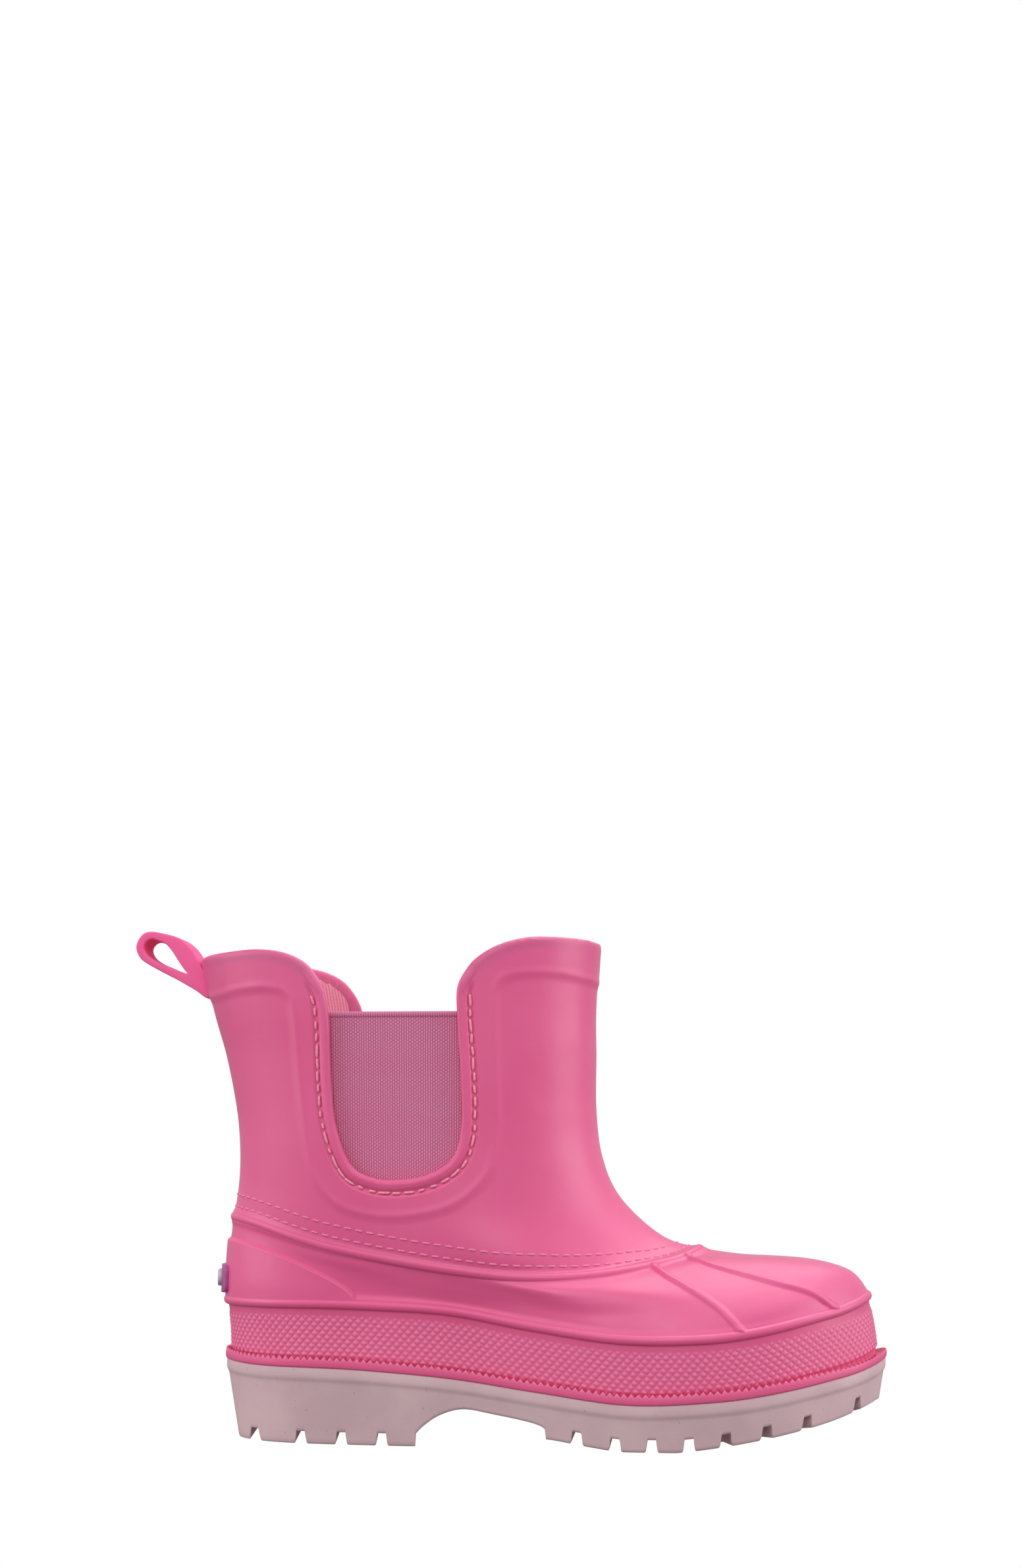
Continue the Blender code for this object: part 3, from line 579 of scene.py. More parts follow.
def stretched(tree, value, low, high, to_low=0.0, to_high=1.0):
    node = tree.nodes.new("ShaderNodeMapRange")
    for socket, number in zip(("From Min", "From Max", "To Min", "To Max"), (low, high, to_low, to_high)):
        node.inputs[socket].default_value = number
    tree.links.new(value, node.inputs["Value"])
    return node.outputs["Result"]


def mixed_colour(tree, share, first, second):
    """A colour between first and second, each a colour or a socket, by a socket from 0 to 1."""
    node = tree.nodes.new("ShaderNodeMix")
    node.data_type = "RGBA"
    tree.links.new(share, node.inputs["Factor"])
    for socket, colour in ((node.inputs[6], first), (node.inputs[7], second)):
        if isinstance(colour, tuple):
            socket.default_value = colour
        else:
            tree.links.new(colour, socket)
    return node.outputs[2]


def math_node(tree, operation, first, second=None):
    node = tree.nodes.new("ShaderNodeMath")
    node.operation = operation
    for socket, value in zip(node.inputs, (first, second)):
        if value is None:
            continue
        if isinstance(value, (int, float)):
            socket.default_value = value
        else:
            tree.links.new(value, socket)
    return node.outputs[0]


def attribute(tree, name, output="Fac"):
    node = tree.nodes.new("ShaderNodeAttribute")
    node.attribute_name = name
    return node.outputs[output]


def bump(tree, shader, height, depth, below=None):
    """Adds a bump of this depth in millimetres, on top of the one below."""
    node = tree.nodes.new("ShaderNodeBump")
    node.inputs["Strength"].default_value = 1.0
    node.inputs["Distance"].default_value = depth * MM
    tree.links.new(height, node.inputs["Height"])
    if below:
        tree.links.new(below, node.inputs["Normal"])
    tree.links.new(node.outputs["Normal"], shader.inputs["Normal"])
    return node.outputs["Normal"]


def paint(tree, shader, share, deep, light):
    tree.links.new(mixed_colour(tree, share, deep, light), shader.inputs["Base Color"])


def soft_glow(shader, weight, reach):
    """Light that enters the soft rubber and comes out nearby, redder than it went in."""
    shader.inputs["Subsurface Weight"].default_value = weight
    shader.inputs["Subsurface Radius"].default_value = (1.0, 0.35, 0.5)
    shader.inputs["Subsurface Scale"].default_value = reach * MM


def rubber(name, light, deep, roughness, relief=None, specular=0.5, glow=(0.16, 1.6)):
    """Moulded satin rubber: slow drifts of colour, faint clouds of gloss and a very fine grain.

    relief is a painted highlight colour, laid on where the mesh's relief attribute is high, and glow the
    share and reach of light inside."""
    material, tree, shader = new_material(name, roughness, specular)
    colour = mixed_colour(tree, stretched(tree, noise(tree, 28, 4), 0.35, 0.65), deep, light)
    # Painted highlight: where the mesh's relief is high, the colour turns towards the relief colour.
    if relief:
        colour = mixed_colour(tree, attribute(tree, "relief"), colour, relief)
    tree.links.new(colour, shader.inputs["Base Color"])
    gloss = stretched(tree, noise(tree, 90, 4), 0.3, 0.7, roughness - 0.05, roughness + 0.06)
    tree.links.new(gloss, shader.inputs["Roughness"])
    ripple = bump(tree, shader, noise(tree, 160, 2), 0.05)
    bump(tree, shader, noise(tree, 2600, 3), 0.008, ripple)
    soft_glow(shader, *glow)
    return material


def sole_rubber():
    """Pale crepe rubber: cloudy, with a sanded grain and stray dark specks."""
    material, tree, shader = new_material("pale_rubber", 0.62, 0.35)
    clouds = mixed_colour(tree, stretched(tree, noise(tree, 60, 5), 0.35, 0.65), SOLE_DEEP, SOLE_LIGHT)
    specks = stretched(tree, noise(tree, 900, 2), 0.71, 0.78, 0.0, 0.55)
    tree.links.new(mixed_colour(tree, specks, clouds, SOLE_SPECK), shader.inputs["Base Color"])
    ripple = bump(tree, shader, noise(tree, 420, 4), 0.05)
    bump(tree, shader, noise(tree, 3200, 3), 0.02, ripple)
    return material


def elastic_cloth():
    """Elastic webbing: columns of stitches whose colour drifts in bands, with painted shade in the hollows
    between them.
    """
    material, tree, shader = new_material("elastic_webbing", 0.78, 0.2)
    drift = stretched(tree, noise(tree, 55, 3, (0.4, 0.4, 1.6)), 0.35, 0.65)
    bright = mixed_colour(tree, drift, ELASTIC_LIGHT, ELASTIC_WARM)
    # Painted shade: where the relief is low, in the hollows between columns and loops, the colour turns to
    # the shade colour.
    colour = mixed_colour(tree, stretched(tree, attribute(tree, "relief"), 0.12, 0.7), ELASTIC_HOLLOW_SHADE, bright)
    tree.links.new(colour, shader.inputs["Base Color"])
    bump(tree, shader, noise(tree, 5200, 2, (1, 1, 0.3)), 0.03)
    shader.inputs["Sheen Weight"].default_value = 0.25
    shader.inputs["Sheen Roughness"].default_value = 0.5
    return material


def knit(name, light, deep, pitch):
    """Ribbed knit: wales that run up the cloth, with small loops along them, and painted shade in the grooves
    between the wales.
    """
    material, tree, shader = new_material(name, 0.9, 0.15)
    split = tree.nodes.new("ShaderNodeSeparateXYZ")
    tree.links.new(attribute(tree, "weave", "Vector"), split.inputs[0])
    across = math_node(tree, "MULTIPLY", split.outputs[0], math.pi / pitch)
    wales = math_node(tree, "ABSOLUTE", math_node(tree, "SINE", across))
    rows = math_node(tree, "SINE", math_node(tree, "MULTIPLY", split.outputs[1], TAU / pitch))
    height = math_node(tree, "ADD", wales, math_node(tree, "MULTIPLY", rows, 0.06))
    fuzz = math_node(tree, "MULTIPLY", noise(tree, 2400, 3), 0.5)
    height = math_node(tree, "ADD", height, fuzz)
    # Painted shade: the colour follows the height, darker in the grooves between the wales and lighter on
    # their tops; the fuzz adds random tone.
    paint(tree, shader, stretched(tree, height, 0.3, 1.3), deep, light)
    bump(tree, shader, height, 0.16)
    shader.inputs["Sheen Weight"].default_value = 0.3
    return material


def plastic(name, light, deep, roughness):
    material, tree, shader = new_material(name, roughness)
    paint(tree, shader, stretched(tree, noise(tree, 140, 3), 0.35, 0.65), deep, light)
    bump(tree, shader, noise(tree, 1400, 2), 0.01)
    return material


def granular(name, light, deep, grain, depth, spread=(0.35, 0.65), gloss=(0.9, 0.2)):
    """One noise for colour and bump: pressed board, foam or twisted thread. grain is its scale and detail."""
    material, tree, shader = new_material(name, *gloss)
    height = noise(tree, *grain)
    paint(tree, shader, stretched(tree, height, *spread), deep, light)
    bump(tree, shader, height, depth)
    return material


PINK_LIGHT, PINK_DEEP = srgb(235, 99, 151), srgb(231, 91, 145)
# Painted light: the loop's colours are the pink rubber made lighter, standing in for light on the thin strap
# and its shaded inner side.
LOOP_BRIGHTENED_LIGHT, LOOP_BRIGHTENED_DEEP = srgb(255, 116, 172), srgb(254, 108, 166)
TEXTURED_LIGHT, TEXTURED_DEEP = srgb(228, 90, 142), srgb(222, 82, 134)
# Painted highlight: the lighter colour laid on the raised diamonds, teeth and moulded stitches of the
# textured rubber.
RAISED_HIGHLIGHT = srgb(244, 132, 172)
SOLE_LIGHT, SOLE_DEEP, SOLE_SPECK = srgb(220, 187, 192), srgb(209, 176, 182), srgb(146, 118, 122)
# ELASTIC_HOLLOW_SHADE is painted shade for the hollows of the webbing.
ELASTIC_LIGHT, ELASTIC_WARM, ELASTIC_HOLLOW_SHADE = srgb(230, 148, 183), srgb(233, 139, 177), srgb(190, 92, 132)
THREAD_LIGHT, THREAD_DEEP = srgb(252, 172, 192), srgb(240, 142, 174)
# KNIT_GROOVE_SHADE and FABRIC_GROOVE_SHADE are painted shade for the grooves between the wales.
KNIT_LIGHT, KNIT_GROOVE_SHADE = srgb(255, 168, 192), srgb(238, 124, 156)
FABRIC_LIGHT, FABRIC_GROOVE_SHADE = srgb(222, 150, 170), srgb(196, 120, 142)
PURPLE_LIGHT, PURPLE_DEEP = srgb(176, 76, 146), srgb(164, 62, 132)
GREY_LIGHT, GREY_DEEP = srgb(204, 197, 199), srgb(190, 184, 188)

PINK = Finish(rubber("pink_rubber", PINK_LIGHT, PINK_DEEP, 0.4), "pink_rubber")
# The loop's lighter colours are painted light; its glow is light passing through the rubber.
PINK_LOOP = Finish(
    rubber("pink_rubber_loop", LOOP_BRIGHTENED_LIGHT, LOOP_BRIGHTENED_DEEP, 0.6, specular=0.05, glow=(0.4, 2.5)), "pink_rubber"
)
PINK_TEXTURED = Finish(
    rubber("pink_rubber_textured", TEXTURED_LIGHT, TEXTURED_DEEP, 0.46, RAISED_HIGHLIGHT, glow=(0.06, 1.0)),
    "pink_rubber_textured",
)
PALE = Finish(sole_rubber(), "pale_rubber")
WEBBING = Finish(elastic_cloth(), "elastic")
KNIT = Finish(knit("lining_knit", KNIT_LIGHT, KNIT_GROOVE_SHADE, RIB_PITCH), "lining_knit")
FABRIC = Finish(knit("footbed_fabric", FABRIC_LIGHT, FABRIC_GROOVE_SHADE, FABRIC_PITCH), "footbed_fabric")
THREAD = Finish(
    granular("sewing_thread", THREAD_LIGHT, THREAD_DEEP, (2600, 2), 0.05, (0.3, 0.7), (0.6, 0.3)), "thread"
)
PURPLE = Finish(plastic("badge_purple", PURPLE_LIGHT, PURPLE_DEEP, 0.32), "badge_purple")
GREY = Finish(plastic("badge_grey", GREY_LIGHT, GREY_DEEP, 0.38), "badge_grey")
BOARD = granular("pressed_board", srgb(168, 156, 148), srgb(138, 127, 120), (800, 4), 0.05)
FOAM = granular("foam", srgb(222, 216, 196), srgb(204, 196, 174), (500, 4), 0.12)


# ---- sole ----

def lap_turns(cells):
    return np.arange(cells) * TAU / cells


def standing_out(turns, most):
    """How far a strip stands out of the wall: most at the toe, and a third less at the heel."""
    return most * (0.68 + 0.32 * (1 - np.cos(turns)) / 2)


def wall_point(turns, out, lift):
    """Points beside the sole's edge, straight out by out and up by lift."""
    points = on_skin(WALL_SKIN, 0.0, turns)
    outwards = (on_skin(WALL_SKIN, 0.0, turns, 1.0) - points)[..., :2]
    outwards /= np.linalg.norm(outwards, axis=-1, keepdims=True)
    points[..., :2] += outwards * np.asarray(out)[..., None]
    points[..., 2] += lift
    return points


def toe_grooves():
    """Middle, heading and half length of the short grooves that run in from the edge of the toe."""
    found = []
    for turn in np.radians(TOE_GROOVE_TURNS):
        for side in (-1, 1):
            ends = [on_skin(WALL_SKIN, 0.0, side * turn, reach)[:2] for reach in TOE_GROOVE_REACH]
            reach = np.linalg.norm(ends[1] - ends[0])
            found.append(((ends[0] + ends[1]) / 2, (ends[1] - ends[0]) / reach, reach / 2))
    return found


def tips_height(x):
    return np.maximum(smooth(TREAD_X, TREAD_Z, np.clip(x, 0, 193)), 0)


def tread(x, y):
    """Height of the tread: lug tips with rounded edges, the arch and the grooves."""
    at_edge = x + np.interp(x, SLANT_X, SLANT) * (y + np.interp(x, SLANT_X, OUTER_EDGE))
    arch = spline(ARCH, 12)
    under_arch = (at_edge > ARCH[0][0]) & (at_edge < ARCH[-1][0])
    roof = np.where(under_arch, np.interp(at_edge, arch[:, 0], arch[:, 1]), 0)
    tips = np.maximum(tips_height(x), roof)
    inside = np.full(np.shape(x), -9.0)
    for middle in CROSS_GROOVES:
        inside = np.maximum(inside, GROOVE / 2 - np.abs(at_edge - middle))
    for middle, heading, reach in toe_grooves():
        away = np.stack([x, y], axis=-1) - middle
        along, across = away @ heading, away[..., 0] * heading[1] - away[..., 1] * heading[0]
        inside = np.maximum(inside, np.minimum(GROOVE / 2 - np.abs(across), reach - np.abs(along)))
    corner = LUG_ROUND * (1 - np.sqrt(1 - np.clip(1 + inside / LUG_ROUND, 0, 1) ** 2))
    depth = LUG_ROUND + (LUG_DEPTH - LUG_ROUND) * rise(inside, 0, 0.35)
    return tips + np.where(inside < 0, corner, depth)


# How far each row stands back from the strip's face, and its height over the sole's edge.
SOLE_RIM = (
    (1.8, 0.05), (0.4, 0), (0.1, -0.1), (0, -0.4), (0, -2.5), (0.08, -3.0), (0.25, -3.5), (0.48, -3.9),
)
WELT_FACE = ((0.25, -0.05), (0.06, 0.15), (0, 0.5), (0, 1.5), (0.1, 1.9))
# The same for the teeth, with the share of a tooth's height that each row has between the two.
WELT_TEETH = ((0.16, 0.6, 2.0), (0.25, 1, 2.0), (0.65, 1, 1.9), (0.9, 0.4, 1.3), (1.3, 0, 0.7))


def make_outsole():
    """The wall of the sole from its rim down to the lugs, then the tread across its underside."""
    turns = lap_turns(2400)
    out = standing_out(turns, WELT_OUT) - RIM_STEP
    rim = []
    for back, lift in SOLE_RIM:
        rim.append(wall_point(turns, out - back, lift))
    ledge = wall_point(turns, out - LEDGE_BACK, -4.4)
    drop = ledge[:, 2] - tips_height(ledge[:, 0])
    foot = wall_point(turns, out - LEDGE_BACK - DRAFT * drop, 0.0)
    foot[:, 2] = ledge[:, 2] - drop
    bottom = tread(foot[:, 0], foot[:, 1])

    def wall_at(z):
        share = np.clip((ledge[:, 2] - z) / drop, 0, 1)[:, None]
        return np.concatenate([ledge[:, :2] * (1 - share) + foot[:, :2] * share, z[:, None]], axis=1)

    shares = np.linspace(0.04, 1, 16)
    fall = bottom + LUG_ROUND - ledge[:, 2]
    wall = [ledge] + [wall_at(ledge[:, 2] + fall * share) for share in shares]
    edge = wall_at(bottom)
    middle = smooth(BEND_X, BEND_Y, np.clip(edge[:, 0], 0, 195))
    half = np.maximum(np.abs(edge[:, 1] - middle), 1e-3)
    under = []
    for inset in np.concatenate([[0.12, 0.35, 0.7], 1 + np.linspace(0, 1, 60) ** 1.3 * 60]):
        y = middle + (edge[:, 1] - middle) * np.clip(1 - inset / half, 0, 1)
        near = 1 - min(inset, LUG_ROUND) / LUG_ROUND
        lift = LUG_ROUND * (1 - math.sqrt(1 - near**2))
        under.append(np.stack([edge[:, 0], y, tread(edge[:, 0], y) + lift], axis=1))
    rows = np.array(rim + wall + under)
    sole = mesh_object("outsole_tread", grid(rows, closed=True, inwards=True), PALE)
    on_boot(sole, "outsole")


def make_welt():
    """The strip between sole and wall, with a row of teeth along its top."""
    turns = lap_turns(2880)
    far = standing_out(turns, WELT_OUT)
    at = evenly(wall_point(turns, 2.0, 0.0), TOOTH_PITCH, closed=True)
    phase = np.interp(np.arange(len(turns)), at, np.arange(len(at)))
    at_toe = rise(wall_point(turns, 0.0, 0.0)[:, 0], 172, 188)
    tooth = (1 - np.abs(2 * (phase % 1) - 1)) * (1 - 0.8 * at_toe)
    rows = [wall_point(turns, 0.0, -0.1)]
    for back, lift in WELT_FACE:
        rows.append(wall_point(turns, far - back, lift))
    for back, share, lift in WELT_TEETH:
        rows.append(wall_point(turns, far - back, lift + TOOTH_HEIGHT * share * tooth))
    rows.append(wall_point(turns, -0.5, 0.5))
    # Painted highlight: relief lightens the three tooth rows, most at the teeth's tips.
    relief = np.zeros((len(rows), len(turns)))
    relief[6:9] = 0.7 * tooth
    part = grid(np.array(rows), closed=True)
    strip = mesh_object("welt_teeth", part, PINK_TEXTURED, relief)
    on_boot(strip, "welt_strip")


def diamonds(around, down):
    """Height from 0 to 1 of rows of small pyramids, from the distances round and down the wall."""
    u, v = around / DIAMOND[0], down / DIAMOND[1]
    first = np.abs(u - np.round(u)) + np.abs(v - np.round(v))
    second = np.abs(u - 0.5 - np.round(u - 0.5)) + np.abs(v - 0.5 - np.round(v - 0.5))
    return np.clip(1 - 2 * np.minimum(first, second), 0, 1)


def make_foxing():
    """The textured wall round the foot, a smooth strip along its top, and the bead over that."""
    turns = lap_turns(2000)
    shares = np.linspace(0.0, 1.02, 74)[:, None]
    plain = on_skin(WALL_SKIN, shares, turns)
    top = on_skin(WALL_SKIN, 1.0, turns)
    length = np.concatenate([[0], np.cumsum(np.linalg.norm(np.diff(top, axis=0), axis=1))])
    total = length[-1] + np.linalg.norm(top[0] - top[-1])
    around = length * round(total / DIAMOND[0]) * DIAMOND[0] / total
    down = np.linalg.norm(plain - top, axis=-1)
    height = diamonds(around, down)
    strip = 1 - rise(down, SMOOTH_STRIP - 0.2, SMOOTH_STRIP + 0.7)
    up = np.linalg.norm(plain - plain[0], axis=-1)
    hollow = (-0.45 + 0.85 * (1 - np.cos(turns)) / 2) * np.sin(np.clip(shares, 0, 1) * math.pi)
    # Painted highlight: relief lightens the diamonds' tips, more the higher they stand; the smooth strip
    # under the bead gets none.
    relief = (1 - strip) * height**0.8
    offset = hollow + DIAMOND_DEPTH * (height**0.85 * (1 - strip) + 0.2 * strip)
    offset = offset - CREVICE * (1 - rise(up, 1.8, 3.6))
    wall = grid(on_skin(WALL_SKIN, shares, turns, offset), closed=True)
    band = mesh_object("foxing_wall", wall, PINK_TEXTURED, relief * 0.8)
    on_boot(band, "foxing_band")

    turns = lap_turns(720)
    foot = np.zeros(len(turns))
    bead = skin_tube(UPPER_SKIN, foot, turns, 0.0, FOXING_BEAD, FOXING_BEAD * BEAD_WIDER, closed=True)
    piece = mesh_object("foxing_bead", bead, PINK)
    on_boot(piece, "foxing_piping")


# ---- lower shell ----

def fillet(points, last=False):
    """How far the skin rises towards a bead along the first or the last row of a grid of points."""
    steps = np.linalg.norm(np.diff(points, axis=0), axis=-1)
    if last:
        steps = steps[::-1]
    away = np.concatenate([np.zeros((1, points.shape[1])), np.cumsum(steps, axis=0)])
    return FILLET * np.exp(-((((away[::-1] if last else away) - 0.5) / 1.2) ** 2))


def make_lower_shell():
    """The smooth rubber foot, with two raised ribs on each side of the toe."""
    turns = lap_turns(1440)
    low, high = level_at(UPPER_SKIN, 0, turns, 0.7), level_at(UPPER_SKIN, SEAM_LEVEL, turns, -0.6)
    levels = low + (high - low) * np.linspace(0, 1, 140)[:, None]
    points = on_skin(UPPER_SKIN, levels, turns)
    lift = np.zeros(levels.shape)
    for rib in TOE_RIBS:
        level, turn = from_side(spline(rib, 4))
        for side in (-1, 1):
            away = route_distance(on_skin(UPPER_SKIN, level, side * turn), points)
            lift = np.maximum(lift, TOE_RIB * (1 - rise(away, 0.25, 1.75)))
    lift += fillet(points) + fillet(points, last=True)
    shell = grid(on_skin(UPPER_SKIN, levels, turns, lift), closed=True)
    piece = mesh_object("lower_shell_skin", shell, PINK)
    on_boot(piece, "lower_shell")

    turns = lap_turns(720)
    seam = np.full(len(turns), SEAM_LEVEL)
    bead = skin_tube(UPPER_SKIN, seam, turns, -0.45, SEAM_BEAD, SEAM_BEAD * BEAD_WIDER, closed=True)
    piece = mesh_object("seam_bead", bead, PINK)
    on_boot(piece, "seam_piping")


def make_heel_panel():
    """The raised panel round the back of the heel. Outside its edge the mesh dips under the shell."""
    reach = math.radians(60)
    turns = np.linspace(-reach, reach, 420)
    edge_turn = math.radians(58)
    levels = np.linspace(0.05, 3.9, 130)[:, None]
    points = on_skin(UPPER_SKIN, levels, turns)
    edge = np.linspace(-edge_turn, edge_turn, 121)
    tops = 3.55 * np.sqrt(np.clip(1 - np.abs(edge / edge_turn) ** 5, 0, 1))
    away = route_distance(on_skin(UPPER_SKIN, tops, edge), points)
    inside = levels < 3.55 * np.sqrt(np.clip(1 - np.abs(turns / edge_turn) ** 5, 0, 1))
    away = np.where(inside, away, -away)
    lift = HEEL_PANEL * rise(away, -0.25, 1.1) - 0.35 * rise(-away, -0.1, 0.5)
    part = grid(on_skin(UPPER_SKIN, levels, turns, lift))
    panel = mesh_object("heel_panel", part, PINK)
    on_boot(panel, "heel_counter_overlay")


Pad = namedtuple("Pad", "half_turn low high power base top bevel")
BADGE_PLATE = Pad(14.5, 0.38, 1.95, 0.3, 0.8, 2.15, 0.45)
BADGE_EMBLEM = Pad(7.0, 0.7, 1.65, 0.8, 1.9, 3.2, 0.6)


def raised_pad(name, pad, finish):
    """A plate on the back of the heel, from level low to level high, with a rounded outline and edge."""
    across, up = superellipse(ring_angles(96), pad.power)
    middle, half = (pad.low + pad.high) / 2, (pad.high - pad.low) / 2
    reach = math.radians(pad.half_turn)
    shoulder_height = pad.top - pad.bevel
    rows = []
    for share, height in (
        (1.0, pad.base),
        (1.0, shoulder_height),
        (0.985, pad.top - pad.bevel * 0.35),
        (0.95, pad.top),
        (0.5, pad.top),
        (0.01, pad.top),
    ):
        rows.append(on_skin(UPPER_SKIN, middle + up * half * share, across * reach * share, height))
    return mesh_object(name, grid(np.array(rows), closed=True), finish)


def make_badge():
    on_boot(raised_pad("badge_plate", BADGE_PLATE, PURPLE), "heel_badge_plate")
    on_boot(raised_pad("badge_emblem", BADGE_EMBLEM, GREY), "heel_badge_emblem")


# ---- shaft ----

def collar_route(spread, drop):
    """Level and turn along the collar's outer side, from the middle of the back to that of the front."""
    line = collar_line(spread, drop)
    line = line[(line[:, 0] > -5.0) & (line[:, 0] < 111.6)]
    level, turn = from_side(line)
    return np.concatenate([level[:1], level, level[-1:]]), np.concatenate([[0.0], turn, [math.pi]])


def shaft_relief(points, edge):
    """How far the outside of the leg stands off the skin. edge is the distance inside the collar line."""
    x, z = points[..., 0], points[..., 2]
    border = -side_distance(spline(BAND_BORDER, 8), x, z)[0]
    beside = 1 - rise(z, SHOULDER_LOW - 2, SHOULDER_LOW + 2)
    ridge = RIDGE * np.exp(-(((border - 1.3) / 1.1) ** 2))
    lift = BAND * rise(border, -1.6, 1.4) + ridge + fillet(points)
    lift += beside * LIP_LIFT * np.exp(-(((edge - LIP) / 1.3) ** 2))
    lift -= beside * SEWN_DEPTH * np.exp(-(((edge - STITCH_OUT) / 0.8) ** 4))
    over_rim = np.clip(1 - edge / COLLAR_EDGE, 0, 1) ** (2 / RIM_POWER)
    rounded = (BAND + SHELL) / 2 * (1 - (1 - over_rim) ** (RIM_POWER / 2))
    return lift - shoulder(z) * (rounded - 0.02)


def collar_edges():
    """Tubes along the collar line: those at the ends of the collar, then {"medial": ..., "lateral": ...}
    for the lips beside the elastic, which end inside the others and so are a little thinner."""
    level, turn = collar_route(LIP, COLLAR_EDGE)
    top = shoulder(on_skin(UPPER_SKIN, level, turn)[:, 2])
    beside_lift = BAND + LIP_LIFT - LIP
    lift = beside_lift + ((BAND - SHELL) / 2 - beside_lift) * top
    wide = LIP + (COLLAR_EDGE - LIP) * top
    high = LIP + ((BAND + SHELL) / 2 - LIP) * top
    low_part = np.flatnonzero(top < 0.05)
    first, last = low_part[0], low_part[-1]

    def edge_tube(side, run, slim=1.0):
        route = (level[run], side * turn[run], lift[run], slim * high[run], slim * wide[run])
        return skin_tube(UPPER_SKIN, *route, sides=28, power=RIM_POWER)

    ends, lips = [], {}
    for side, label in ((-1, "medial"), (1, "lateral")):
        ends.append(edge_tube(side, slice(0, first + 4)))
        lips[label] = edge_tube(side, slice(first, last + 1), 0.97)
        ends.append(edge_tube(side, slice(last - 3, None)))
    return ends, lips


def make_shaft():
    """The leg of the boot, with a raised band round collar and elastic, and a sewn groove by the lip."""
    turns = lap_turns(1200)
    low = level_at(UPPER_SKIN, SEAM_LEVEL, turns, 0.6)
    levels = low + (TOP_LEVEL - 0.02 - low) * np.linspace(0, 1, 270)[:, None]
    points = on_skin(UPPER_SKIN, levels, turns)
    edge, grow = side_distance(spline(COLLAR_LINE, 8), points[..., 0], points[..., 2])
    at_top = shoulder(points[..., 2])
    outer = grid(on_skin(UPPER_SKIN, levels, turns, shaft_relief(points, edge)), closed=True)
    outer = trimmed(outer, edge - 0.9 + 0.55 * at_top, grow)[:2]
    few = (slice(None, None, 2), slice(None, None, 2))
    inner = grid(on_skin(UPPER_SKIN, levels[few], turns[None, ::2], -SHELL), closed=True, inwards=True)
    inner = trimmed(inner, (edge - 0.9 - 0.7 * at_top)[few], grow[few])[:2]
    ends, lips = collar_edges()
    on_boot(mesh_object("shaft_skin", merged(outer, inner, *ends), PINK), "shaft_upper")
    for label, part in lips.items():
        on_boot(mesh_object(f"elastic_rim_{label}", part, PINK), f"gore_rim_{label}")


def side_route(spread, top):
    """Level and turn along a line beside the cut-out for the elastic, up to this height on both sides."""
    line = collar_line(spread, spread)
    below = np.flatnonzero(line[:, 1] < top)
    return from_side(line[below[0] : below[-1] + 1])


def make_stitches():
    """Sewn thread in the groove beside the elastic, and moulded imitation stitches above the seam."""
    level, turn = side_route(STITCH_OUT, SHOULDER_LOW - 1.5)
    for side, label in ((1, "lateral"), (-1, "medial")):
        route = (UPPER_SKIN, level, side * turn)
        sewn = dashes(*route, STITCH_PITCH, 0.84, STITCH_SIZE, 0.1, uneven=0.45, seed=5 + side)
        piece = mesh_object(f"gore_thread_{label}", sewn, THREAD)
        on_boot(piece, f"gore_stitching_{label}")
    parts = []
    turns = lap_turns(720)
    for distance in DASH_ROWS:
        levels = level_at(UPPER_SKIN, SEAM_LEVEL, turns, distance)
        parts.append(dashes(UPPER_SKIN, levels, turns, DASH_PITCH, 0.76, DASH_SIZE, 0.02, closed=True))
    points, quads = merged(*parts)
    # Painted highlight: the moulded stitches are laid lighter all over, as raised dashes that catch the
    # light.
    pale = np.full(len(points), 0.8)
    moulded = mesh_object("moulded_stitches", (points, quads), PINK_TEXTURED, pale)
    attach(moulded, "boot")


# ---- soft pieces ----

def gore_edge_x(z):
    """x of the rear and the front edge of the elastic at these heights, tucked behind the shell."""
    line = collar_line(GORE_MARGIN, GORE_MARGIN)
    lowest = int(np.argmin(line[:, 1]))
    rear, fore = line[lowest::-1], line[lowest:]
    rear, fore = (run[: np.argmax(run[:, 1] > GORE_TOP + 2) + 1] for run in (rear, fore))
    return np.interp(z, rear[:, 1], rear[:, 0]), np.interp(z, fore[:, 1], fore[:, 0]), line[lowest, 1]


HEM_SIDES = 12


